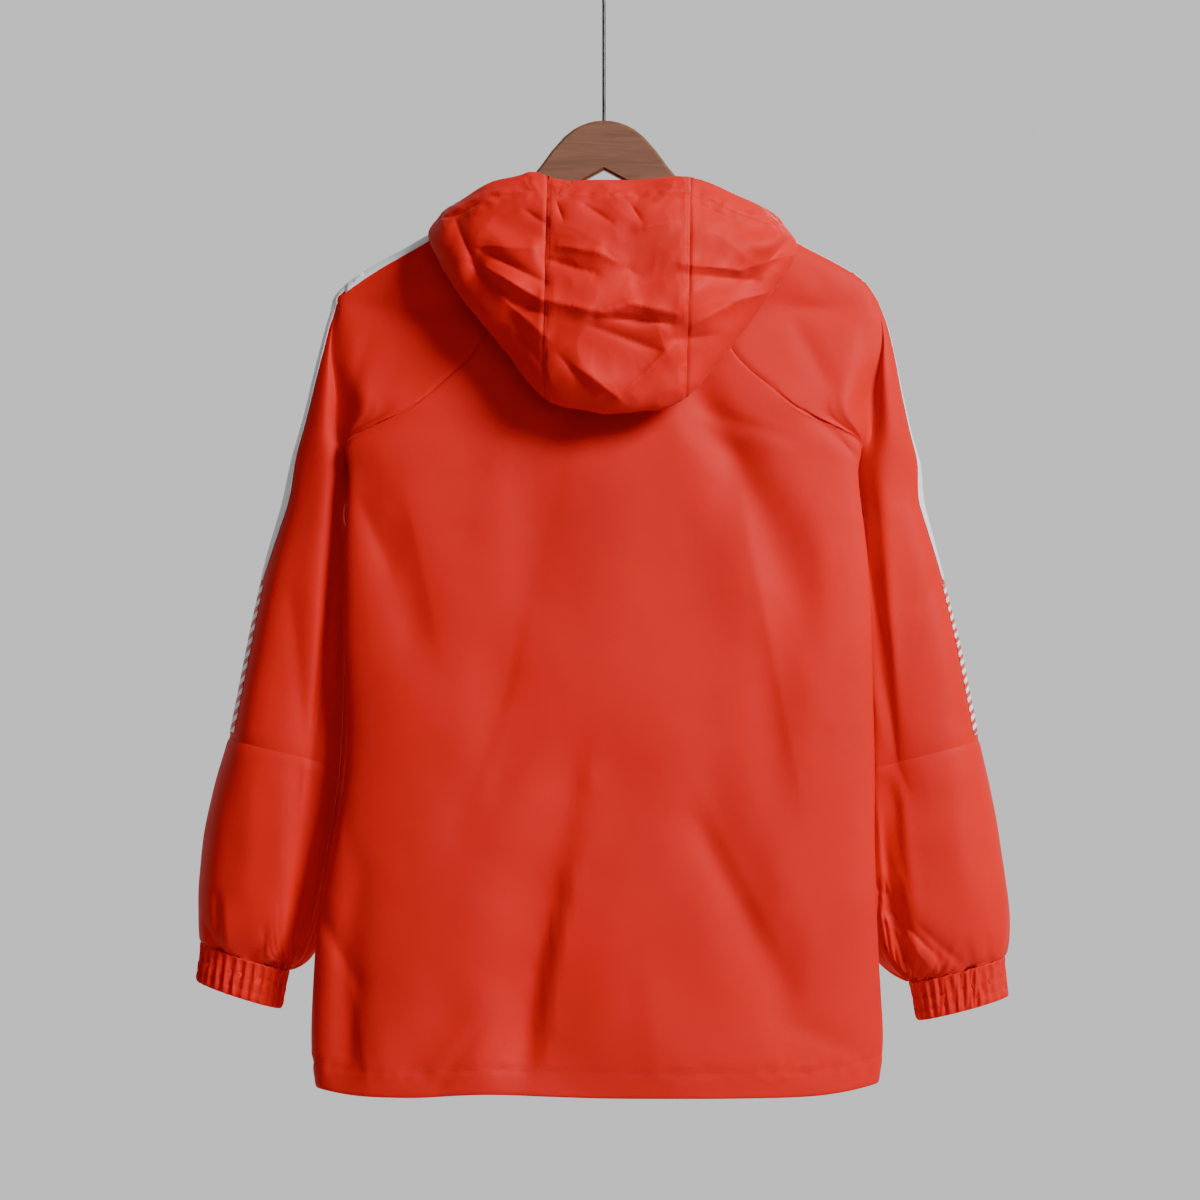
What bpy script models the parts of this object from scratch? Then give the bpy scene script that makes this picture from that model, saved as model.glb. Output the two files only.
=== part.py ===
"""Hooded windbreaker hanging on a wooden hanger: every sewn piece as its own closed solid.

Metres, +Z up. The origin is the inner top of the hook, where it rests on a rail. The garment's
back faces -Y and its front +Y; +X is the wearer's right. Tables are in millimetres.
"""

import math

import bmesh
import bpy
import numpy as np

MM = 0.001

# ---- driving sizes (mm) ---------------------------------------------------------------------
CLOTH = 1.3            # wall that stands for the doubled, slightly crumpled nylon
TRIM_WALL = 1.0        # tape and trim strips
SEAM_HALF = 0.15       # each side's share of the 0.3 mm between two sewn pieces
LAP = 0.3              # air between a strip and the panel that carries it

WIRE_R = 1.5           # hook wire
HOOK_R = 21.5          # hook's loop, to the wire's centre line
HOOK_RISE = 34.0       # loop centre down to the straight shank
SHANK = 103.0          # straight wire above the wood
HANGER_TOP = -(HOOK_R - WIRE_R) - HOOK_RISE - SHANK
HANGER_THICK = 12.0
WOOD_BORE_DEPTH = 22.0

HEM = -961.0           # lowest point of the back's hem
UNDERARM = -443.0      # where the raglan seams meet the side of the body

# Body: half widths on the wearer's left and right, depths behind and in front of its widest line.
BODY_COLUMNS = ("z", "left", "right", "widest_y", "back", "front")
BODY = (
    (-961, 238, 227, -20, 38, 74),
    (-930, 241, 230, -20, 37, 74),
    (-880, 240, 228, -21, 35, 74),
    (-820, 236, 225, -22, 34, 74),
    (-760, 224, 223, -22, 32, 73),
    (-690, 213, 223, -22, 30, 71),
    (-600, 214, 221, -22, 27, 68),
    (-520, 214, 217, -22, 23, 64),
    (-443, 211, 210, -20, 19, 57),
    (-400, 213, 213, -15, 20, 50),
    (-359, 217, 218, -9, 20, 42),
    (-325, 222, 224, -4, 20, 35),
    (-300, 221, 223, 0, 20, 30),
    (-283, 200, 206, 0, 20, 28),
    (-268, 173, 178, 0, 20, 26),
    (-252, 146, 150, 0, 20, 25),
    (-238, 118, 118, 0, 20, 24),
    (-226, 88, 88, 0, 18, 22),
)
BACK_ROUND = 2.7       # how square the back's section is (2 is an ellipse)
FRONT_ROUND = 2.1
SIDE_TURN = 0.066      # the side seams run this far in front of the widest line
SEAM_TURNS_IN = -402.0  # below this the raglan seams turn round the side to the underarm

# Raglan seams, half width of the back and front panels at each height.
SEAM_COLUMNS = ("z", "back", "front")
RAGLAN = (
    (-443, 209, 209),
    (-432, 202, 200),
    (-418, 188, 182),
    (-397, 163, 158),
    (-364, 119, 122),
    (-330, 95, 98),
    (-290, 74, 76),
    (-255, 60, 66),
    (-240, 56, 63),
    (-226, 54, 62),
)

# Sleeve from the shoulder point to the wrist. Heights are on the sleeve's middle line; tilt is
# how far the outer side stands above the inner one, in degrees.
# Columns: z, tilt, inner, outer, back, front.
SLEEVE_RIGHT = (
    (-470, 4, 210, 267, -15, 66),
    (-505, 7, 210, 275, -16, 68),
    (-545, 10, 209, 285, -17, 69),
    (-610, 12, 208, 300, -18, 69),
    (-684, 14, 208, 314, -19, 68),
    (-735, 14, 210, 325, -18, 66),
    (-790, 15, 213, 334, -18, 64),
    (-830, 15, 222, 339, -16, 60),
    (-852, 15, 238, 339, -12, 54),
    (-863, 15, 254, 336, -6, 46),
)
SLEEVE_LEFT = (
    (-470, 4, 210, 268, -15, 66),
    (-505, 7, 209, 277, -16, 68),
    (-545, 10, 208, 287, -17, 69),
    (-610, 12, 207, 300, -18, 69),
    (-682, 14, 208, 314, -19, 68),
    (-735, 15, 216, 329, -18, 66),
    (-785, 16, 225, 337, -17, 64),
    (-822, 17, 236, 339, -15, 60),
    (-842, 18, 248, 339, -11, 54),
    (-852, 18, 262, 338, -5, 46),
)
ELBOW_ROW = 4          # row of the two tables where the elbow seam runs

# Armhole: the sleeve's cloth folds behind the body's edge. valley is the crease behind that edge,
# bulge the sleeve's rounding beyond it on the back; front and flank are the same in front.
ARMHOLE_COLUMNS = ("z", "outer", "valley_x", "valley_y", "bulge_x", "bulge_y", "front_x", "front_y",
                   "flank_x", "flank_y")
ARMHOLE_RIGHT = (
    (-443, 264, 221, -10, 234, -15, 238, 62, 216, 46),
    (-422, 258, 222, -10, 235, -16, 238, 57, 213, 41),
    (-387, 249, 221, -7, 233, -15, 235, 47, 212, 31),
    (-359, 243, 226, -9, 232, -13, 232, 34, 214, 23),
    (-325, 235, 228, -8, 231, -7, 229, 17, 218, 14),
    (-300, 224, 219, -6, 222, -3, 222, 5, 216, 9),
)
ARMHOLE_LEFT = (
    (-443, 262, 221, -10, 233, -14, 236, 62, 216, 46),
    (-422, 256, 222, -10, 233, -15, 236, 57, 213, 41),
    (-387, 246, 219, -8, 230, -14, 232, 47, 211, 31),
    (-359, 239, 223, -10, 229, -12, 229, 34, 212, 23),
    (-325, 230, 223, -8, 226, -6, 225, 17, 215, 14),
    (-300, 222, 217, -6, 220, -3, 220, 5, 214, 9),
)

# Guide points beside the underarm: two behind it and two in front, as (x, y) at two heights.
UNDERARM_GUIDES = {
    -423: ((214.5, -14.5), (217.5, -11.5), (204, 17), (195, 11)),
    -443: ((202, 4), (212, -3), (204, 30), (197, 18)),
}

# Soft folds of the body: from (x0, z0) to (x1, z1), half width, depth (+ is a valley).
# Columns: x0, z0, x1, z1, half width, depth.
BACK_FOLDS = (
    (-28, -405, -62, -560, 16, 4.0),
    (-62, -560, -78, -640, 16, 3.0),
    (-12, -705, -62, -930, 17, 9.0),
    (-205, -800, -216, -935, 13, 6.0),
    (88, -405, 150, -530, 17, 6.5),
    (150, -530, 140, -660, 18, 4.0),
    (84, -720, 140, -860, 16, 5.0),
    (-52, -655, -108, -730, 12, 2.5),
    (30, -880, 8, -945, 14, 4.0),
    (-200, -460, -160, -560, 15, 4.0),
    (60, -930, 120, -930, 16, -2.0),
    (-150, -930, -110, -880, 14, 3.5),
)
FRONT_FOLDS = (
    (85, -420, 105, -600, 18, 5.0),
    (-85, -400, -120, -560, 17, 5.0),
    (92, -700, 125, -935, 18, 7.0),
    (-85, -760, -110, -940, 17, 6.0),
    (-160, -620, -140, -800, 18, 4.0),
    (165, -560, 150, -720, 18, 4.0),
)
SLEEVE_FOLDS = (
    (0.20, -560, 0.30, -690, 0.055, 6.0),
    (0.22, -715, 0.17, -835, 0.050, 6.0),
    (0.40, -480, 0.36, -620, 0.045, 3.0),
    (0.72, -520, 0.66, -660, 0.055, 5.0),
    (0.70, -740, 0.76, -840, 0.050, 5.0),
)

# Hood: one row for each line drawn from the rim, down the outer layer, round the lowest fold
# and up the inner layer to the neck seam.
HOOD_COLUMNS = ("rim", "upper", "bulge", "low", "fold", "inner", "neck")
HOOD_RIBS = (
    ((-8, 36, -252), (-9, 42, -257), (-9, 46, -263), (-9, 47, -270), (-9, 44, -277),
     (-8, 38, -281), (-8, 31.5, -286)),
    ((-62, 33, -238), (-70, 40, -243), (-76, 44, -250), (-78, 45, -257), (-75, 41, -262),
     (-70, 35, -260), (-66, 28, -251)),
    ((-104, 17, -222), (-114, 21, -228), (-121, 25, -236), (-123, 27, -244), (-116, 25, -246),
     (-102, 20, -238), (-83, 10, -223.5)),
    ((-112, 0, -219), (-121, 0, -226), (-130, 0, -235), (-134, 0, -241), (-128, 0, -240.5),
     (-108, 0, -229), (-88, 0, -222)),
    ((-117, -13, -223), (-128, -14, -232), (-137, -16, -242), (-140, -18, -250),
     (-132, -18, -252), (-108, -14, -235), (-86, -5, -222.5)),
    ((-119, -27, -226), (-132, -30, -236), (-142, -33, -248), (-145, -35, -258),
     (-135, -33, -267), (-107, -27, -249), (-83, -9.5, -223.5)),
    ((-117, -40, -226), (-124, -53, -241), (-127, -61, -262), (-126, -57, -286),
     (-118, -43, -303), (-95, -33, -276), (-74, -14, -223.5)),
    ((-86, -52, -211), (-91, -68, -236), (-94, -77, -272), (-96, -70, -316), (-88, -50, -338),
     (-72, -37, -292), (-62, -17.5, -223.5)),
    ((-46, -58, -214), (-47, -78, -243), (-48, -90, -300), (-50, -82, -364), (-48, -58, -389),
     (-46, -40, -315), (-48, -19.5, -227)),
    ((-12, -59, -212), (-12, -81, -242), (-12, -94, -305), (-12, -86, -375), (-11, -60, -399),
     (-14, -41, -320), (-17, -22.5, -235)),
    ((28, -59, -212), (29, -81, -242), (29, -94, -305), (30, -86, -375), (30, -60, -398.5),
     (24, -41, -320), (17, -22.5, -235)),
    ((70, -58, -209), (70, -78, -240), (69, -90, -298), (68, -81, -362), (66, -58, -389),
     (56, -40, -315), (48, -19.5, -227)),
    ((102, -52, -221), (104, -68, -243), (104, -77, -276), (106, -70, -322), (100, -50, -349),
     (80, -37, -292), (62, -17.5, -223.5)),
    ((128, -42, -231), (134, -54, -246), (138, -61, -268), (141, -57, -284), (131, -43, -310),
     (104, -33, -278), (74, -14, -223.5)),
    ((129, -27, -233), (143, -30, -243), (154, -33, -254), (159, -35, -267), (150, -33, -275),
     (117, -27, -252), (83, -9.5, -223.5)),
    ((128, -13, -231), (139, -14, -238), (149, -16, -247.5), (155, -18, -256),
     (147, -18, -258), (118, -14, -240), (86, -5, -222.5)),
    ((125, 0, -226), (137, 0, -231), (147, 0, -239), (151.5, 0, -247), (145, 0, -248),
     (116, 0, -232.5), (88, 0, -222)),
    ((112, 17, -226), (124, 21, -234), (132, 25, -243), (134, 27, -251), (126, 25, -252),
     (108, 20, -241), (83, 10, -223.5)),
    ((62, 33, -239), (70, 40, -244), (76, 44, -251), (78, 45, -258), (75, 41, -262),
     (70, 35, -260), (66, 28, -251)),
    ((8, 36, -252), (9, 42, -257), (9, 46, -263), (9, 47, -270), (9, 44, -277),
     (8, 38, -281), (8, 31.5, -286)),
)
HOOD_SEAM_LEFT = 8     # ribs that carry the two seams of the centre panel
HOOD_SEAM_RIGHT = 11
# Columns: rib0, down0, rib1, down1, width, depth.
HOOD_FOLDS = (
    (6.2, 1.2, 7.6, 3.4, 0.45, 5),
    (7.3, 1.4, 8.2, 2, 0.35, 5),
    (7.3, 2.1, 8.4, 2.5, 0.3, -4),
    (8.3, 1.5, 9.8, 1.9, 0.35, 5),
    (8.4, 2.5, 10.8, 2.7, 0.4, 6),
    (9, 2.1, 10.6, 2.2, 0.3, -4),
    (10.2, 1.8, 11.6, 2, 0.35, 4.5),
    (10.4, 3, 12.6, 2.6, 0.4, 5),
    (11.4, 2.2, 13.6, 1.6, 0.35, -5),
    (12, 3.2, 13.8, 1.9, 0.3, 4),
)

CUFF_HEIGHT = 32.0
CUFF_GATHERS = 28
CUFF_WAVE = 1.1
CUFF_LEAN = 5.0        # the cuff's lower edge stands this much further out

ZIP_HALF = 7.0         # from the chain's middle to a front's edge
ZIP_TAPE_OUT = 18.0    # tape's hidden edge under the front
ZIP_TAPE_UNDER = 2.3   # from a front's outer face down to the tape
ZIP_CHAIN = 0.65       # the two tapes stand this far from the middle
SLIDER_Z = -300.0
PULL_LENGTH = 28.0
PULL_WALL = 1.6
BRIDGE_OUT = 5.5       # how far the slider's bridge stands out of its body

# Hanger's outline for one arm: distance from the middle, then the upper and lower edge.
# Columns: x, top, bottom.
ARM = (
    (0, 0, -41),
    (7, -0.5, -44.7),
    (13, -1.9, -48),
    (19, -4.1, -51.2),
    (25, -7.2, -54.5),
    (33, -13.6, -60),
    (43, -24.8, -66),
    (53, -38.4, -73),
    (64, -51.5, -81),
    (76, -64, -91),
    (90, -75.5, -102),
    (118, -85, -113),
    (148, -99, -126),
    (175, -115, -140),
    (198, -128, -151),
    (208, -136, -154),
    (213, -144, -150),
)

COLOURS = {
    "red_nylon": ((0.63, 0.035, 0.022, 1), 0.55, 0.0),
    "white_tape": ((0.80, 0.78, 0.82, 1), 0.60, 0.0),
    "zip_tape": ((0.45, 0.03, 0.02, 1), 0.75, 0.0),
    "zip_metal": ((0.55, 0.55, 0.56, 1), 0.35, 1.0),
    "hanger_wood": ((0.21, 0.093, 0.038, 1), 0.50, 0.0),
    "black_wire": ((0.012, 0.012, 0.013, 1), 0.40, 0.8),
}


# ---- tables and smooth lines ----------------------------------------------------------------
def hermite(xs, ys, x):
    """Smooth curve through the rows of a table; ys may hold any array for each row."""
    xs = np.asarray(xs, float)
    ys = np.asarray(ys, float)
    x = np.clip(np.asarray(x, float), xs[0], xs[-1])
    step = np.diff(xs)
    wide = (slice(None),) + (None,) * (ys.ndim - 1)
    slope = np.diff(ys, axis=0) / step[wide]
    tangent = np.empty_like(ys)
    tangent[0], tangent[-1] = slope[0], slope[-1]
    tangent[1:-1] = (slope[:-1] * step[1:][wide] + slope[1:] * step[:-1][wide]) / (
        step[1:] + step[:-1])[wide]
    k = np.clip(np.searchsorted(xs, x, side="right") - 1, 0, len(xs) - 2)
    h = step[k]
    t = (x - xs[k]) / h
    grow = t.shape + (1,) * (ys.ndim - 1)
    t, h = t.reshape(grow), h.reshape(grow)
    a, b = ys[k], ys[k + 1]
    return ((2 * t**3 - 3 * t**2 + 1) * a + (t**3 - 2 * t**2 + t) * h * tangent[k]
            + (-2 * t**3 + 3 * t**2) * b + (t**3 - t**2) * h * tangent[k + 1])


def column(table, names, name, z):
    """Value of one named column at height z."""
    rows = sorted(table)
    k = names.index(name)
    return hermite([r[0] for r in rows], [r[k] for r in rows], z)


def fold_depth(folds, x, z):
    """Depth of the soft folds at (x, z): troughs that die out past both ends."""
    depth = np.zeros(np.broadcast(x, z).shape)
    for x0, z0, x1, z1, half_width, deep in folds:
        length = math.hypot(x1 - x0, z1 - z0)
        ax, az = (x1 - x0) / length, (z1 - z0) / length
        along = (x - x0) * ax + (z - z0) * az
        across = (x - x0) * az - (z - z0) * ax
        past = np.maximum(0, np.maximum(-along, along - length))
        depth += deep * np.exp(-(across / half_width) ** 2 - (past / (2.2 * half_width)) ** 2)
    return depth


# ---- the body's rings -----------------------------------------------------------------------
def body(turn, z):
    """Point on the body. turn 0 is the right side, 0.25 mid back, 0.5 left side, 0.75 front."""
    turn, z = np.broadcast_arrays(np.asarray(turn, float), np.asarray(z, float))
    angle = 2 * math.pi * turn
    c, s = np.cos(angle), np.sin(angle)
    sizes = {n: column(BODY, BODY_COLUMNS, n, z) for n in BODY_COLUMNS[1:]}
    half = np.where(c >= 0, sizes["right"], sizes["left"])
    power = 2 / np.where(s >= 0, BACK_ROUND, FRONT_ROUND)
    x = half * np.sign(c) * np.abs(c) ** power
    out = np.abs(s) ** power
    y = sizes["widest_y"] + np.where(s >= 0, -sizes["back"], sizes["front"]) * out
    calm = np.clip(out * 1.4 - 0.25, 0, 1)
    y = y + calm * np.where(s >= 0, fold_depth(BACK_FOLDS, x, z), -fold_depth(FRONT_FOLDS, x, z))
    return np.stack([x, y, z], -1)


def underarm_share(z):
    """0 where a raglan seam lies on its panel, 1 at the underarm."""
    k = np.clip((SEAM_TURNS_IN - np.asarray(z, float)) / (SEAM_TURNS_IN - UNDERARM), 0, 1)
    return k * k * (3 - 2 * k)


def seam_turn(side, face, z):
    """Turn at which a raglan seam crosses height z. side is +1 right or -1 left."""
    half = column(BODY, BODY_COLUMNS, "right" if side > 0 else "left", z)
    x = column(RAGLAN, SEAM_COLUMNS, face, z)
    round_ = BACK_ROUND if face == "back" else FRONT_ROUND
    quarter = np.arccos(np.clip(x / half, 0, 1) ** (round_ / 2)) / (2 * math.pi)
    near = underarm_share(z)
    quarter = quarter + ((-SIDE_TURN if face == "back" else SIDE_TURN) - quarter) * near
    if side > 0:
        return quarter if face == "back" else 1 - quarter
    return 0.5 - quarter if face == "back" else 0.5 + quarter


def hem_lift(x):
    """The hem's lowest line isn't level: how far it stands above HEM."""
    xs = (-241, -205, -160, -100, -60, 0, 60, 110, 190, 230)
    lift = (6, 1, 0, 3, 2, 0, 0, 0, 3, 10)
    return hermite(xs, lift, x)


def body_panel(turn_a, turn_b, rows, neck_from, neck_drop):
    """Surface of a panel between two turns, each a function of height.

    neck_drop(u) is how far the neckline falls below the panel's top row.
    """
    top = rows[-1]

    def surface(u, v):
        z = hermite(range(len(rows)), rows, np.asarray(v) * (len(rows) - 1))
        share = np.clip((z - neck_from) / (top - neck_from), 0, 1)
        z = z - neck_drop(u) * share
        a, b = turn_a(z), turn_b(z)
        points = body(a + (b - a) * u, z)
        near_hem = np.clip((HEM + 120 - z) / 120, 0, 1)
        points[..., 2] += hem_lift(points[..., 0]) * near_hem
        return points
    return surface


# ---- the sleeves' rings ---------------------------------------------------------------------
SLEEVE_POINTS = 13     # guide points of each sleeve row, from back edge to front edge
RING_ANGLES = (215, 222, 231, 243, 262, 311, 360, 409, 458, 495, 525, 550, 575)
SHOULDER_LEVELS = (-226, -232, -240, -251, -266, -283, -300)
ARMHOLE_LEVELS = (-312, -325, -342, -359, -380, -402, -423, -443)
CAP_ROWS = len(SHOULDER_LEVELS) + len(ARMHOLE_LEVELS)
FOLD_BACK = 0.055      # turn of the armhole's fold on the back
FOLD_FRONT = 0.075


def ring_row(side, row):
    """Guide points of a closed sleeve ring, from its inner line round the back to the front."""
    z, tilt, inner, outer, back, front = row
    middle_x, middle_y = (inner + outer) / 2, (back + front) / 2
    half_x, half_y = (outer - inner) / 2, (front - back) / 2
    points = []
    for degrees in RING_ANGLES:
        c, s = math.cos(math.radians(degrees)), math.sin(math.radians(degrees))
        square = 1.0 if c < 0 else 0.9
        x = middle_x + half_x * math.copysign(abs(c) ** square, c)
        y = middle_y + half_y * math.copysign(abs(s) ** square, s)
        points.append((side * x, y, z + (x - middle_x) * math.tan(math.radians(tilt))))
    return points


def armhole_row(side, z):
    """Guide points of an open row: back seam, fold, valley, sleeve, and the same in front."""
    table = ARMHOLE_RIGHT if side > 0 else ARMHOLE_LEFT
    outer, valley_x, valley_y, bulge_x, bulge_y, front_x, front_y, flank_x, flank_y = (
        float(column(table, ARMHOLE_COLUMNS, n, z)) for n in ARMHOLE_COLUMNS[1:])
    start = body(seam_turn(side, "back", z), z)
    end = body(seam_turn(side, "front", z), z)
    near = underarm_share(z)
    if z in UNDERARM_GUIDES:
        behind, fold_back, fold_front, ahead = (
            np.array((side * x, y, z)) for x, y in UNDERARM_GUIDES[z])
    else:
        edge = 0.0 if side > 0 else 0.5
        fold_back = body(edge + side * FOLD_BACK, z)
        fold_front = body(edge - side * FOLD_FRONT, z)
        behind, ahead = (start + fold_back) / 2, (end + fold_front) / 2
    clear = np.array((side * 0.9 * near, 0.0, 0.0))
    start, end = start + clear, end + clear
    width = front_y - bulge_y
    return [start, behind, fold_back, (side * valley_x, valley_y, z),
            (side * bulge_x, bulge_y, z),
            (side * (bulge_x + 0.78 * (outer - bulge_x)), bulge_y + 0.14 * width, z),
            (side * outer, bulge_y + 0.45 * width, z),
            (side * (front_x + 0.78 * (outer - front_x)), bulge_y + 0.80 * width, z),
            (side * front_x, front_y, z), (side * flank_x, flank_y, z),
            fold_front, ahead, end]


def shoulder_row(side, z):
    """Guide points of a row that lies on the shoulder, from seam to seam over the ridge."""
    edge = 0.0 if side > 0 else 0.5
    first = (float(seam_turn(side, "back", z)) - edge) * side
    last = -((1.0 if side > 0 else 0.5) - float(seam_turn(side, "front", z))) * side
    armhole = (first, (first + FOLD_BACK) / 2, FOLD_BACK, 0.6 * FOLD_BACK, 0.35 * FOLD_BACK,
               0.15 * FOLD_BACK, 0, -0.12 * FOLD_FRONT, -0.3 * FOLD_FRONT, -0.55 * FOLD_FRONT,
               -FOLD_FRONT, (last - FOLD_FRONT) / 2, last)
    even = spread(first, 0, 7).tolist() + spread(0, last, 7).tolist()[1:]
    low = (SHOULDER_LEVELS[0] - z) / (SHOULDER_LEVELS[0] - SHOULDER_LEVELS[-1])
    return [body(edge + side * (e + (a - e) * low), z) for e, a in zip(even, armhole)]


def sleeve_rows(side):
    """All guide rows of a sleeve, from the neck to the wrist."""
    rows = [shoulder_row(side, z) for z in SHOULDER_LEVELS]
    rows += [armhole_row(side, z) for z in ARMHOLE_LEVELS]
    rows += [ring_row(side, r) for r in (SLEEVE_RIGHT if side > 0 else SLEEVE_LEFT)]
    return np.array([[np.asarray(p, float) for p in row] for row in rows])


def sleeve(side, rows):
    """Surface of a whole sleeve: u from back edge to front edge, v counts guide rows."""
    def surface(u, v):
        u, v = np.broadcast_arrays(np.asarray(u, float), np.asarray(v, float))
        guide = hermite(range(len(rows)), rows, v)
        at = np.clip(u, 0, 1) * (SLEEVE_POINTS - 1)
        k = np.clip(at.astype(int), 0, SLEEVE_POINTS - 2)
        t = (at - k)[..., None]
        pick = lambda j: np.take_along_axis(
            guide, np.clip(j, 0, SLEEVE_POINTS - 1)[..., None, None], -2)[..., 0, :]
        a, b = pick(k), pick(k + 1)
        ring = (v > CAP_ROWS - 1.2)[..., None]
        before_first = np.where(ring, guide[..., -2, :], 2 * a - b)
        after_last = np.where(ring, guide[..., 1, :], 2 * b - a)
        before = np.where((k == 0)[..., None], before_first, pick(k - 1))
        after = np.where((k == SLEEVE_POINTS - 2)[..., None], after_last, pick(k + 2))
        ta, tb = (b - before) / 2, (after - a) / 2
        p = ((2 * t**3 - 3 * t**2 + 1) * a + (t**3 - 2 * t**2 + t) * ta
             + (-2 * t**3 + 3 * t**2) * b + (t**3 - t**2) * tb)
        middle = guide.mean(-2)
        radial = middle - p
        radial[..., 2] = 0
        radial /= np.maximum(np.linalg.norm(radial, axis=-1, keepdims=True), 1e-6)
        deep = np.zeros(u.shape)
        for u0, z0, u1, z1, half, depth in SLEEVE_FOLDS:
            run = np.clip((p[..., 2] - z0) / (z1 - z0), 0, 1)
            past = np.maximum(0, np.maximum(p[..., 2] - z0, z1 - p[..., 2]))
            off = (u - (u0 + (u1 - u0) * run)) / half
            deep += depth * np.exp(-off**2 - (past / 30) ** 2)
        return p + radial * deep[..., None]
    return surface


# ---- the hood -------------------------------------------------------------------------------
HOOD = np.array(HOOD_RIBS, float)


def hood(u, v):
    """Point on the hood: u counts ribs, v counts the named columns from rim to neck."""
    u, v = np.broadcast_arrays(np.asarray(u, float), np.asarray(v, float))
    rib = hermite(range(len(HOOD)), HOOD, u)
    last = len(HOOD_COLUMNS) - 1
    at = np.clip(v, 0, last)
    k = np.clip(at.astype(int), 0, last - 1)
    t = (at - k)[..., None]
    pick = lambda j: np.take_along_axis(rib, np.clip(j, 0, last)[..., None, None], -2)[..., 0, :]
    a, b = pick(k), pick(k + 1)
    before = np.where((k == 0)[..., None], 2 * a - b, pick(k - 1))
    after = np.where((k == last - 1)[..., None], 2 * b - a, pick(k + 2))
    ta, tb = (b - before) / 2, (after - a) / 2
    p = ((2 * t**3 - 3 * t**2 + 1) * a + (t**3 - 2 * t**2 + t) * ta
         + (-2 * t**3 + 3 * t**2) * b + (t**3 - t**2) * tb)
    p[..., 1] += fold_depth(HOOD_FOLDS, u, v)
    return p


# ---- walls ----------------------------------------------------------------------------------
def normals(surface, u, v, du=1e-3, dv=1e-3):
    """Unit normals of a surface by small steps."""
    a = surface(u + du, v) - surface(u - du, v)
    b = surface(u, v + dv) - surface(u, v - dv)
    n = np.cross(a, b)
    return n / np.maximum(np.linalg.norm(n, axis=-1, keepdims=True), 1e-9)


def material(name):
    """The piece's own plain finish."""
    made = bpy.data.materials.get(name) or bpy.data.materials.new(name)
    colour, rough, metal = COLOURS[name]
    made.use_nodes = True
    shader = made.node_tree.nodes["Principled BSDF"]
    shader.inputs["Base Color"].default_value = colour
    shader.inputs["Roughness"].default_value = rough
    shader.inputs["Metallic"].default_value = metal
    made.diffuse_color = colour
    return made


def add_mesh(name, points, faces, finish):
    """One named object from points in mm, its faces turned outwards."""
    mesh = bpy.data.meshes.new(name)
    mesh.from_pydata([tuple(float(c) * MM for c in p) for p in points], [], faces)
    made = bmesh.new()
    made.from_mesh(mesh)
    bmesh.ops.recalc_face_normals(made, faces=made.faces)
    made.to_mesh(mesh)
    made.free()
    mesh.shade_smooth()
    mesh.materials.append(material(finish))
    thing = bpy.data.objects.new(name, mesh)
    bpy.context.scene.collection.objects.link(thing)
    return thing


def wall(name, outer, inner, finish, closed=False):
    """Closed solid between two grids of points; closed joins the last column to the first."""
    rows, cols = outer.shape[:2]
    points = np.concatenate([outer.reshape(-1, 3), inner.reshape(-1, 3)])
    out = lambda i, j: i * cols + j % cols
    inn = lambda i, j: rows * cols + i * cols + j % cols
    faces = []
    for i in range(rows - 1):
        for j in range(cols if closed else cols - 1):
            a, b, c, d = ((i, j), (i + 1, j), (i + 1, j + 1), (i, j + 1))
            place = lambda q: outer[q[0], q[1] % cols]
            if np.linalg.norm(place(a) - place(c)) > np.linalg.norm(place(b) - place(d)):
                a, b, c, d = b, c, d, a
            faces += [(out(*a), out(*b), out(*c)), (out(*a), out(*c), out(*d)),
                      (inn(*a), inn(*c), inn(*b)), (inn(*a), inn(*d), inn(*c))]
    for j in range(cols if closed else cols - 1):
        faces.append((out(0, j), out(0, j + 1), inn(0, j + 1), inn(0, j)))
        faces.append((out(rows - 1, j + 1), out(rows - 1, j), inn(rows - 1, j),
                      inn(rows - 1, j + 1)))
    if not closed:
        for i in range(rows - 1):
            faces.append((out(i + 1, 0), out(i, 0), inn(i, 0), inn(i + 1, 0)))
            faces.append((out(i, cols - 1), out(i + 1, cols - 1), inn(i + 1, cols - 1),
                          inn(i, cols - 1)))
    return add_mesh(name, points, faces, finish)


def unit(vectors):
    """Vectors scaled to length 1."""
    return vectors / np.maximum(np.linalg.norm(vectors, axis=-1, keepdims=True), 1e-9)


def body_inward(turn, z):
    """Inward direction of the body's surface, which a panel shares along its raglan seam."""
    a = body(turn + 1e-3, z) - body(turn - 1e-3, z)
    b = body(turn, z + 0.5) - body(turn, z - 0.5)
    return unit(np.cross(a, b))


def panel(name, surface, us, vs, finish, thick=CLOTH, ends=(0.0, 0.0), flip=1, shared=None,
          gap=SEAM_HALF, saddle=None):
    """Cloth wall on a surface: the outer face lies on it, the inner face a thickness inside.

    shared gives the inward directions of the first rows at both long edges, where the panel
    is sewn to another surface. ends are the gaps at the first and last row. saddle is the row and
    the inward direction of the corner where both long edges meet.
    """
    u, v = np.meshgrid(us, vs)
    outer = surface(u, v)
    inward = -flip * normals(surface, u, v)
    if shared is not None:
        rows = len(shared[0])
        inward[:rows, 0], inward[:rows, -1] = shared
    if saddle is not None:
        inward[saddle[0], 0] = inward[saddle[0], -1] = unit(np.array(saddle[1], float))
    step = 1e-3
    across = unit(surface(u + step, v) - surface(u - step, v))
    along = unit(np.gradient(outer, axis=0))
    for edge, way in ((0, 1), (-1, -1)):
        pull = across[:, edge] - (across[:, edge] * along[:, edge]).sum(-1, keepdims=True) \
            * along[:, edge]
        outer[:, edge] += unit(pull) * gap * way
    for edge, inside, share in ((0, 1, ends[0]), (-1, -2, ends[1])):
        outer[edge] += unit(outer[inside] - outer[edge]) * share
    return wall(name, outer, outer + inward * thick, finish)


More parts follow.
